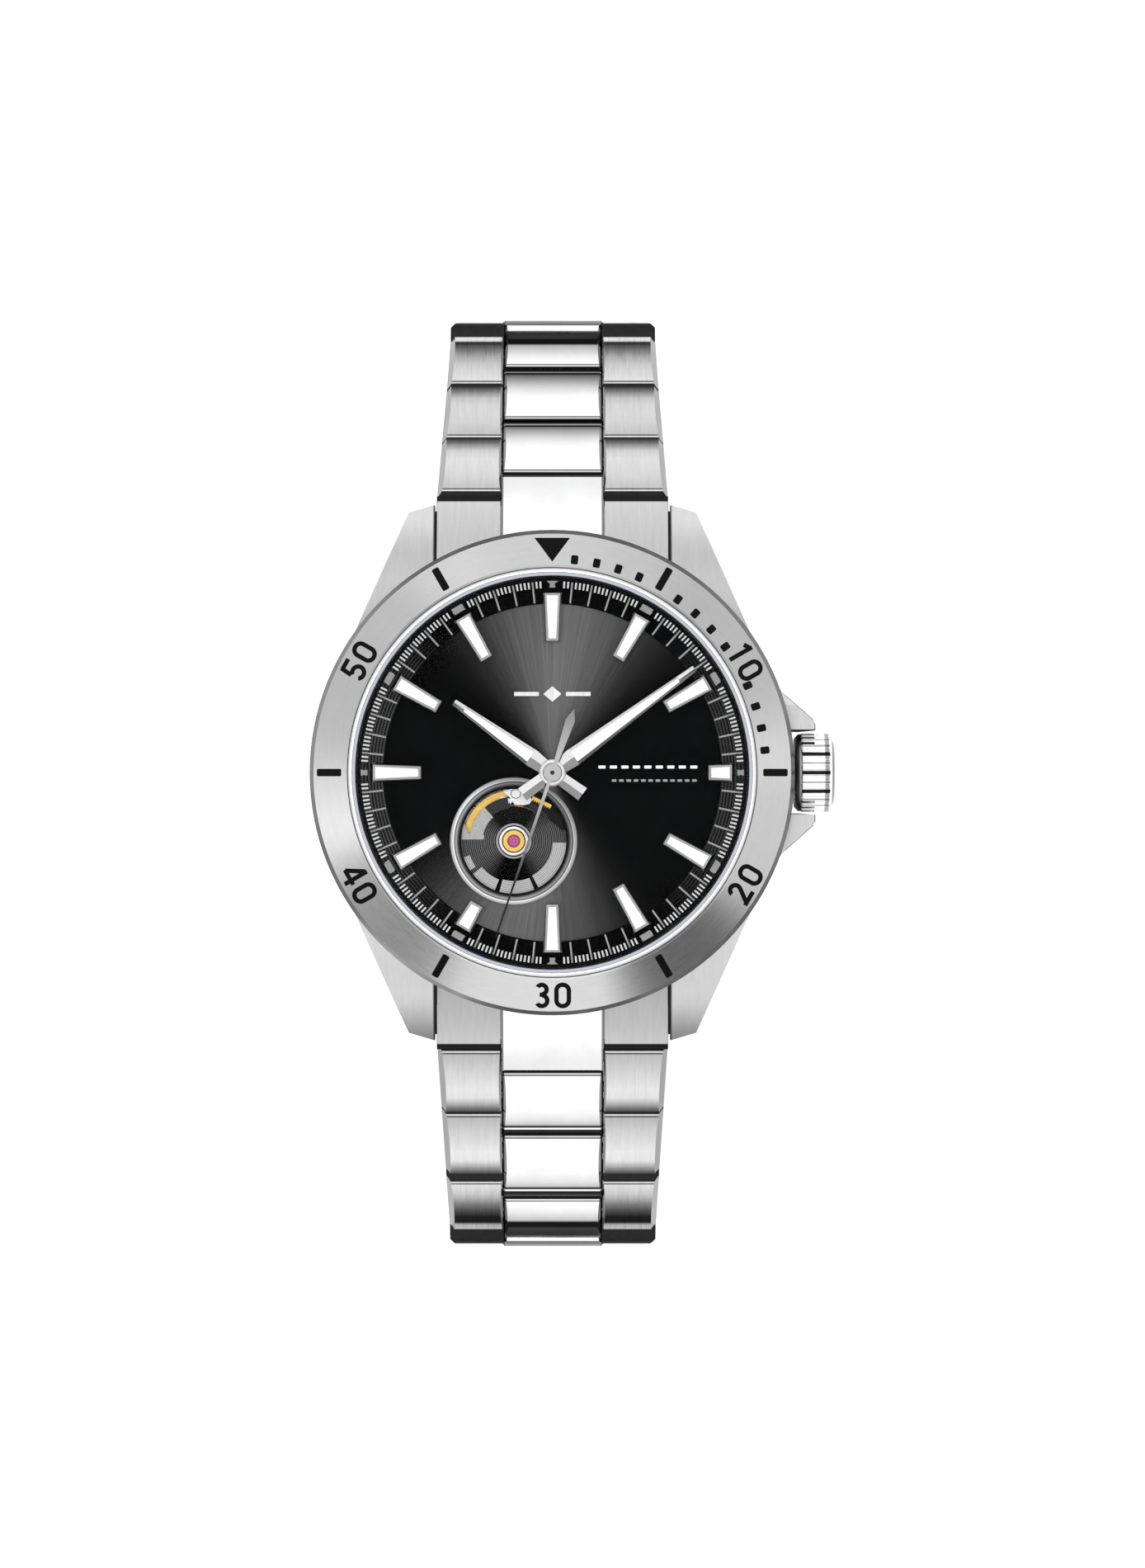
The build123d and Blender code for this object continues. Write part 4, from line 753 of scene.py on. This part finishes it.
finish_node("case_middle", ["lug", "bright", "flank", "black", "gap", "neck"], case_face)
finish_node("case_back", ["flank"])
finish_node("bezel", ["bezel", "bezel_edge", "gap"], bezel_face)
finish_node("bezel_markings", ["black"])
finish_node("hour_markers", ["frame", "lume", "emblem"], marker_face)
finish_node("gaskets", ["nylon", "rubber"], lambda c, n, reach: int(c.z < 5))
finish_node("jewels", ["ruby", "gilt"], lambda c, n, reach: int(c.z > 7.1 and flat_radius(c, AX, AY) > 0.521))
finish_node("barrel", ["gilt", "spring"], lambda c, n, reach: int(4.96 < c.z < 5.84))
finish_node("chapter_ring", ["chapter", "black"], lambda c, n, reach: int(c.z > 10.5 or n.z < -0.5))
finish_node("fourth_wheel", ["gilt", "shaft"], lambda c, n, reach: int(c.z > 7.8))
finish_node("crown", ["crown", "flute", "flank", "crown_end"], crown_face)
for node, name in (
    ("crystal", "crystal"), ("case_back_window", "crystal"), ("crown_gasket", "rubber"),
    ("dial", "dial"), ("aperture_plate", "snail"), ("aperture_frame", "aperture_ring"),
    ("main_plate", "plate"), ("train_bridge", "rhodium"), ("balance_cock", "rhodium"),
    ("movement_ring", "plate"),
    ("rotor", "rotor"), ("escape_wheel", "plate"), ("pallet_fork", "plate"), ("screws", "bright"),
    ("center_wheel", "gilt"), ("hour_wheel", "gilt"), ("minute_wheel", "gilt"), ("third_wheel", "gilt"),
    ("balance_wheel", "gilt"), ("hairspring", "spring"),
    ("spring_bars", "flank"), ("clasp_cover", "band"), ("clasp_blade_1", "blade"), ("clasp_blade_2", "blade"),
    ("clasp_button_right", "bright"), ("clasp_button_left", "bright"), ("seconds_hand", "second"),
):
    finish_node(node, [name])


# ---------------------------------------------------------------- mesh helpers
def piece(name, verts, faces, body, materials, which=None, smooth=False):
    """A closed mesh from points in millimetres, riding on a CAD body."""
    mesh = bpy.data.meshes.new(name)
    mesh.from_pydata([Vector(v) * MM for v in verts], [], faces)
    for material in materials:
        mesh.materials.append(M[material])
    for i, polygon in enumerate(mesh.polygons):
        polygon.use_smooth = smooth
        polygon.material_index = which[i] if which else 0
    mesh.validate()
    made = bpy.data.objects.new(name, mesh)
    bpy.context.scene.collection.objects.link(made)
    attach(made, body)
    return made


class Heap:
    """Many small closed solids gathered into one mesh."""

    def __init__(self):
        self.verts, self.faces, self.which = [], [], []

    def tube(self, sections, material=0, closed=False, sides=None):
        """Joins equal loops of points into a closed skin; they run anticlockwise seen from the last one."""
        start, n = len(self.verts), len(sections[0])
        for section in sections:
            self.verts.extend(section)
        count = len(sections)
        for i in range(count if closed else count - 1):
            a, b = start + i * n, start + (i + 1) % count * n
            for k in range(n):
                self.faces.append((a + k, a + (k + 1) % n, b + (k + 1) % n, b + k))
                self.which.append(sides[k] if sides else material)
        if not closed:
            self.faces.append(tuple(range(start + n - 1, start - 1, -1)))
            self.faces.append(tuple(range(start + (count - 1) * n, start + count * n)))
        self.which.extend([material] * (len(self.faces) - len(self.which)))

    def slab(self, outline, low, high, material=0):
        """A flat plate from an anticlockwise outline."""
        self.tube([[(x, y, low) for x, y in outline], [(x, y, high) for x, y in outline]], material)

    def make(self, name, body, materials, smooth=False):
        return piece(name, self.verts, self.faces, body, materials, self.which, smooth)


def spot(radius, clockwise, cx=0.0, cy=0.0):
    a = math.radians(clockwise)
    return cx + radius * math.sin(a), cy + radius * math.cos(a)


def turned(name, profile, cx, cy, body, material, steps=96):
    """A ring from a closed (radius, z) profile, listed anticlockwise with radius to the right."""
    heap = Heap()
    sections = []
    for i in range(steps):
        a = 2 * math.pi * i / steps
        sections.append([(cx + r * math.cos(a), cy + r * math.sin(a), z) for r, z in profile])
    heap.tube(sections, 0, True)
    return heap.make(name, body, [material], True)


def surface(node):
    mesh = NODES[node].data
    tree = BVHTree.FromPolygons([v.co / MM for v in mesh.vertices], [p.vertices[:] for p in mesh.polygons])

    def height(x, y):
        hit = tree.ray_cast(Vector((x, y, 60.0)), Vector((0, 0, -1)))[0]
        return hit.z if hit else None

    return height


# ---------------------------------------------------------------- printed minute track on the chapter ring
chapter_height = surface("chapter_ring")
PRINT = 0.02  # thickness of the printed ink


def track_mark(heap, clockwise, r0, r1, half, material):
    """One printed mark that follows the chapter ring's surface outwards."""
    a = math.radians(clockwise)
    out, side = (math.sin(a), math.cos(a)), (math.cos(a), -math.sin(a))
    steps = max(1, round((r1 - r0) / 0.15))
    sections = []
    for i in range(steps + 1):
        r = r0 + (r1 - r0) * i / steps
        z = chapter_height(r * out[0], r * out[1])
        if z is None:
            return
        loop = []
        for w, dz in ((-half, -0.02), (-half, PRINT), (half, PRINT), (half, -0.02)):
            loop.append((r * out[0] + w * side[0], r * out[1] + w * side[1], z + dz))
        sections.append(loop)
    heap.tube(sections, material)


track = Heap()
for i in range(300):
    clockwise = i * 1.2
    if i % 25 == 0:
        track_mark(track, clockwise, 16.45, 16.98, 0.58, 0)
    elif i % 5 == 0:
        track_mark(track, clockwise, 15.15, 16.95, 0.075, 0)
    elif min(i % 25, 25 - i % 25) > 2:
        track_mark(track, clockwise, 16.43, 16.96, 0.08, 1)
track.make("minute_track", "case", ["print_grey", "print_white"])


# ---------------------------------------------------------------- faceted hands
def hand(name, node, body, clockwise, length, tail, wide, tip, hub, lume_from, lume_to, shaded):
    """A hand with two polished facets that meet on its centre line and a luminous strip between them."""
    low, high = box_mm(node)
    low, high = low.z, high.z
    drop = 0.13
    # the walls and the facet on the side away from the light take a painted shade
    walls = [2, 2, 0, 0, 0] if shaded < 0 else [0, 0, 2, 2, 0]
    a = math.radians(clockwise)

    def place(x, y, z):
        return (x * math.cos(a) + y * math.sin(a), y * math.cos(a) - x * math.sin(a), z)

    def blade_width(y):
        return wide + (tip - wide) * (y - 2.2) / (length - 2.2)

    def lume_width(y):
        return (wide - 0.3) + (0.17 - wide + 0.3) * (y - lume_from) / (lume_to - lume_from)

    heap = Heap()
    # tail and root, up to the lume
    plain_part = [(-tail, 0.66), (0.0, 0.56), (2.2, wide), (lume_from - 0.01, blade_width(lume_from))]
    loops = []
    for y, w in plain_part:
        loops.append([place(*v) for v in ((-w, y, low), (-w, y, high - drop), (0, y, high),
                                          (w, y, high - drop), (w, y, low))])
    heap.tube(loops, sides=walls)
    # frame of the lume: a sloped rail on each side
    for side in (1, -1):
        loops = []
        for y in (lume_from - 0.01, lume_to + 0.01):
            w, l = blade_width(y), lume_width(y)
            loop = [(side * l, y, low), (side * w, y, low), (side * w, y, high - drop),
                    (side * l, y, high - 0.02)]
            loops.append([place(*v) for v in (loop if side > 0 else loop[::-1])][::-1])
        heap.tube(loops, 2 if side == shaded else 0)
    loops = []
    for y, w in ((lume_to + 0.01, blade_width(lume_to)), (length, tip)):
        loops.append([place(*v) for v in ((-w, y, low), (-w, y, high - 0.1), (0, y, high),
                                          (w, y, high - 0.1), (w, y, low))])
    heap.tube(loops, sides=walls)
    loops = []
    for y in (lume_from, lume_to):
        l = lume_width(y) - 0.005
        loops.append([place(*v) for v in ((-l, y, low + 0.02), (-l, y, high - 0.035), (l, y, high - 0.035),
                                          (l, y, low + 0.02))])
    heap.tube(loops, 1)
    made = heap.make(name, body, ["hand", "lume", "hand_painted_shade"])
    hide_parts(node)
    disc = [(0.5, low), (hub, low), (hub, high - 0.03), (hub - 0.05, high), (0.5, high)]
    turned(name + "_hub", disc, 0, 0, body, "hand", 64)


hand("hour_hand_faceted", "hour_hand", "hour_works", HOUR_ANGLE, 10.75, 3.3, 0.8, 0.28, 1.2, 2.4, 9.6, -1)
hand("minute_hand_faceted", "minute_hand", "minute_works", MINUTE_ANGLE, 15.65, 3.3, 0.82, 0.28, 1.13, 2.4,
     13.9, 1)


# ---------------------------------------------------------------- balance aperture
PLATE = box_mm("aperture_plate")[1].z


def arc_outline(r0, r1, c0, c1, steps=24):
    outer = [spot(r1, c0 + (c1 - c0) * i / steps, AX, AY) for i in range(steps + 1)]
    inner = [spot(r0, c0 + (c1 - c0) * i / steps, AX, AY) for i in range(steps + 1)]
    return inner + outer[::-1]


arcs = Heap()
for r0, r1, c0, c1 in ((3.48, 4.68, 92, 152), (3.56, 4.68, 157, 196), (3.66, 4.68, 201, 231),
                       (4.1, 4.68, 236, 252)):
    arcs.slab(arc_outline(r0, r1, c0, c1), PLATE, PLATE + 0.03)
arcs.make("aperture_arcs", "case", ["arc_silver"])
turned("jewel_ring", [(0.96, PLATE), (1.32, PLATE), (1.32, 7.56), (1.26, 7.6), (0.96, 7.6)], AX, AY, "case",
       "bright", 64)
WINDOW = PLATE - 0.2  # a little below the plate's face, inside its crescent window


def sector(r0, r1, a0, a1, steps=24):
    """An anticlockwise outline between two maths angles about the balance."""
    outline = []
    for r, order in ((r1, range(steps + 1)), (r0, range(steps, -1, -1))):
        for i in order:
            a = math.radians(a0 + (a1 - a0) * i / steps)
            outline.append((AX + r * math.cos(a), AY + r * math.sin(a)))
    return outline


def around(points):
    return [(AX + x, AY + y) for x, y in points]


def teeth(x0, y0, x1, y1, count, deep, thick):
    """A strip with saw teeth along its lower side."""
    length = math.hypot(x1 - x0, y1 - y0)
    ux, uy = (x1 - x0) / length, (y1 - y0) / length
    low = []
    for i in range(count):
        s = length * i / count
        low.append((s, 0.0))
        low.append((s + length * 0.5 / count, -deep))
    low += [(length, 0.0), (length, thick), (0.0, thick)]
    return around([(x0 + s * ux - w * uy, y0 + s * uy + w * ux) for s, w in low])


def tapered(inner, r0, r1, a0, a1, steps=24):
    """An anticlockwise outline whose outer edge swings from r0 at a0 out to r1 at a1."""
    outer, rim = [], []
    for i in range(steps + 1):
        a = math.radians(a1 + (a0 - a1) * i / steps)
        r = r1 + (r0 - r1) * math.sin(math.pi / 2 * i / steps)
        outer.append((AX + r * math.cos(a), AY + r * math.sin(a)))
        rim.append((AX + inner * math.cos(a), AY + inner * math.sin(a)))
    return outer + rim[::-1]


movement = Heap()
# a dark sheet in place of the shadow inside the crescent window
movement.slab(sector(3.22, 4.72, 11, 98), WINDOW - 0.1, WINDOW - 0.02, 0)
movement.slab(sector(2.95, 3.95, 98, 131), PLATE + 0.002, PLATE + 0.012, 1)
movement.slab(sector(2.8, 3.95, 131, 176), PLATE + 0.002, PLATE + 0.016, 2)
movement.slab(tapered(3.15, 3.3, 4.68, 52, 6), PLATE - 0.03, PLATE + 0.004, 5)
movement.slab(sector(3.22, 3.75, 30, 66), WINDOW - 0.01, WINDOW + 0.02, 1)
movement.slab(around([(0.1, 3.23), (0.9, 3.2), (1.4, 3.3), (1.62, 3.65), (1.3, 4.25), (0.75, 4.62),
                      (-0.2, 4.64), (-0.95, 4.5),
                      (-0.75, 4.2), (-0.35, 3.9), (-0.12, 3.5)]), WINDOW, WINDOW + 0.12, 3)
movement.slab(teeth(-1.25, 3.72, -0.2, 3.42, 7, 0.2, 0.3), WINDOW - 0.01, WINDOW + 0.03, 3)
movement.slab(teeth(1.62, 3.8, 3.3, 3.02, 9, 0.22, 0.22), WINDOW + 0.03, WINDOW + 0.08, 4)
movement.slab(around([(-4.66, 0.14), (-2.68, 0.14), (-2.64, 0.5), (-2.8, 0.6), (-3.3, 0.42), (-3.75, 0.45),
                      (-4.08, 0.7), (-4.3, 1.25),
                      (-4.4, 1.7), (-4.52, 1.45), (-4.6, 1.0)]), PLATE + 0.002, PLATE + 0.04, 2)
movement.make("aperture_movement", "case", ["shade", "sector", "blasted", "bridge", "gilt", "snail"])
turned("aperture_screw", [(0.05, WINDOW + 0.1), (0.38, WINDOW + 0.1), (0.38, WINDOW + 0.16),
                          (0.3, WINDOW + 0.2), (0.05, WINDOW + 0.2)],
       AX + 0.19, AY + 4.24, "case", "print_white", 40)
# a dark ring under the screw: painted shadow round its head
turned("aperture_screw_seat", [(0.4, WINDOW + 0.1), (0.46, WINDOW + 0.1), (0.46, WINDOW + 0.13),
                               (0.4, WINDOW + 0.13)],
       AX + 0.19, AY + 4.24, "case", "shade", 40)
JEWEL_TOP = surface("jewels")(AX + 0.56, AY)
# thin dark rings: painted shade in the gaps between the ruby, its gilt setting and the jewel ring
for name, inner, outer, top in (("jewel_line", 0.53, 0.58, JEWEL_TOP), ("setting_line", 0.98, 1.06, 7.6)):
    turned(name, [(inner, top - 0.02), (outer, top - 0.02), (outer, top + 0.006), (inner, top + 0.006)], AX,
           AY, "case", "line", 64)
turned("jewel_rim", [(1.4, PLATE), (1.58, PLATE), (1.58, 7.53), (1.4, 7.53)], AX, AY, "case", "blasted", 64)


# the crown's sloped rear face, between the teeth and the bezel
skirt = Heap()
SKIRT_PROFILE = [(2.0, 21.58), (3.08, 21.58), (3.44, 21.94), (3.44, 22.19), (2.0, 22.19)]
sections = []
for i in range(96):
    a = 2 * math.pi * i / 96
    sections.append([(x, CROWN.y + r * math.cos(a), CROWN_Z + r * math.sin(a)) for r, x in SKIRT_PROFILE])
skirt.tube(sections, 0, True)
skirt.make("crown_skirt", "crown", ["skirt"], True)


# dark strips in place of the shadow in the slits beside the end links, hiding the pale floor; the CAD has no
# such strips
lug_height = surface("case_middle")
slit_shadows = Heap()
for side_x in (1, -1):
    for side_y in (1, -1):
        loops = []
        for y in (18.0, 20.0, 21.5, 22.5, 23.4):
            top = lug_height(side_x * 10.75, side_y * y) - 0.5
            x0, x1 = sorted((side_x * 10.3, side_x * 10.53))
            loops.append([(x0, side_y * y, top - 0.4), (x1, side_y * y, top - 0.4), (x1, side_y * y, top),
                          (x0, side_y * y, top)])
        slit_shadows.tube([loop[::-1] for loop in loops] if side_y > 0 else loops)
slit_shadows.make("lug_slit_shadows", "case", ["gap"])


# two plain rows of printed dashes at the right of the dial
DIAL_TOP = surface("dial")(8.0, 0.5)
dashes = Heap()
for count, start, stop, y, long, tall, material in ((9, 4.1, 12.9, 0.5, 0.62, 0.13, 1),
                                                    (12, 5.3, 12.85, -0.7, 0.4, 0.1, 0)):
    for i in range(count):
        x = start + (stop - start - long) * i / (count - 1)
        dashes.slab([(x, y - tall), (x + long, y - tall), (x + long, y + tall), (x, y + tall)],
                    DIAL_TOP - 0.01, DIAL_TOP + PRINT, material)
dashes.make("dial_dashes", "case", ["print_grey", "print_white"])


# ---------------------------------------------------------------- floor, light and camera
FLOOR_Z = CAD_LOW.z / MM - 0.05
floor = bpy.data.meshes.new("floor")
floor.from_pydata([Vector(v) * MM for v in ((-3000, -3000, FLOOR_Z), (3000, -3000, FLOOR_Z),
                                            (3000, 3000, FLOOR_Z), (-3000, 3000, FLOOR_Z))], [], [(0, 1, 2,
                                                                                                   3)])
floor = bpy.data.objects.new("floor", floor)
bpy.context.scene.collection.objects.link(floor)
p = Paint("floor_paper", Roughness=0.9, Specular_IOR_Level=0.1)
paper = p.noise(p.at, 0.02, 2.0)
p.colour(p.tint((0.9, 0.9, 0.9), p.band(paper, 0.3, 0.7, 0.99, 1.01)))
p.shader.inputs["Emission Color"].default_value = (1, 1, 1, 1)
p.shader.inputs["Emission Strength"].default_value = 0.35
floor.data.materials.append(p.mat)

world = bpy.data.worlds.new("studio")
bpy.context.scene.world = world
world.use_nodes = True
tree = world.node_tree
tree.nodes.clear()


def wnode(kind, **settings):
    node = tree.nodes.new(kind)
    for key, value in settings.items():
        setattr(node, key, value)
    return node


def wmath(operation, a, b=None):
    node = wnode("ShaderNodeMath", operation=operation)
    for socket, value in zip(node.inputs, (a, b)):
        if value is None:
            continue
        if isinstance(value, (int, float)):
            socket.default_value = value
        else:
            tree.links.new(value, socket)
    return node.outputs[0]


def wband(value, a, b, c, d):
    node = wnode("ShaderNodeMapRange", interpolation_type="SMOOTHSTEP")
    for socket, number in zip(node.inputs, (None, a, b, c, d)):
        if number is not None:
            socket.default_value = number
    tree.links.new(value, node.inputs["Value"])
    return node.outputs["Result"]


look = wnode("ShaderNodeTexCoord").outputs["Generated"]
split = wnode("ShaderNodeSeparateXYZ")
tree.links.new(look, split.inputs[0])
up = split.outputs["Z"]
# a bright tent overhead that darkens to its hem near the horizon
level = wband(up, 0.02, 0.40, 0.14, 1.2)
# two gaps between the tent's panels, towards 5 and 7 o'clock
for clockwise, elevation, inner, outer, depth in ((143, 46, 6, 19, 0.4), (222, 46, 5, 17, 0.45)):
    e, a = math.radians(elevation), math.radians(clockwise)
    towards = (math.sin(a) * math.cos(e), math.cos(a) * math.cos(e), math.sin(e))
    dot = wnode("ShaderNodeVectorMath", operation="DOT_PRODUCT")
    tree.links.new(look, dot.inputs[0])
    dot.inputs[1].default_value = towards
    gap = wband(dot.outputs["Value"], math.cos(math.radians(outer)), math.cos(math.radians(inner)), 1.0,
                depth)
    level = wmath("MULTIPLY", level, gap)
back = wnode("ShaderNodeBackground")
tree.links.new(level, back.inputs["Strength"])
back.inputs["Color"].default_value = (1, 1, 1, 1)
end = wnode("ShaderNodeOutputWorld")
tree.links.new(back.outputs[0], end.inputs[0])


def softbox(name, place, size, watts):
    light = bpy.data.lights.new(name, "AREA")
    light.shape, light.size, light.energy = "SQUARE", size, watts
    lamp = bpy.data.objects.new(name, light)
    bpy.context.scene.collection.objects.link(lamp)
    lamp.location = place
    lamp.rotation_euler = (-Vector(place)).to_track_quat("-Z", "Y").to_euler()


softbox("key_light", (-0.05, 0.34, 0.62), 0.25, 0.12)

# the photograph's frame, 101 by 138.3 mm at the bezel, seen from straight above
VIEW_HEIGHT_MM, DISTANCE_MM, FRAME_X, FRAME_Y = 138.3, 500.0, 1.79, -1.01
camera = bpy.data.cameras.new("camera")
camera.sensor_width = 36.0
camera.lens = camera.sensor_width * DISTANCE_MM / VIEW_HEIGHT_MM
camera = bpy.data.objects.new("camera", camera)
bpy.context.scene.collection.objects.link(camera)
camera.location = Vector((FRAME_X, FRAME_Y, BEZEL_TOP + DISTANCE_MM)) * MM
bpy.context.scene.camera = camera
bpy.context.scene.view_settings.view_transform = "Standard"
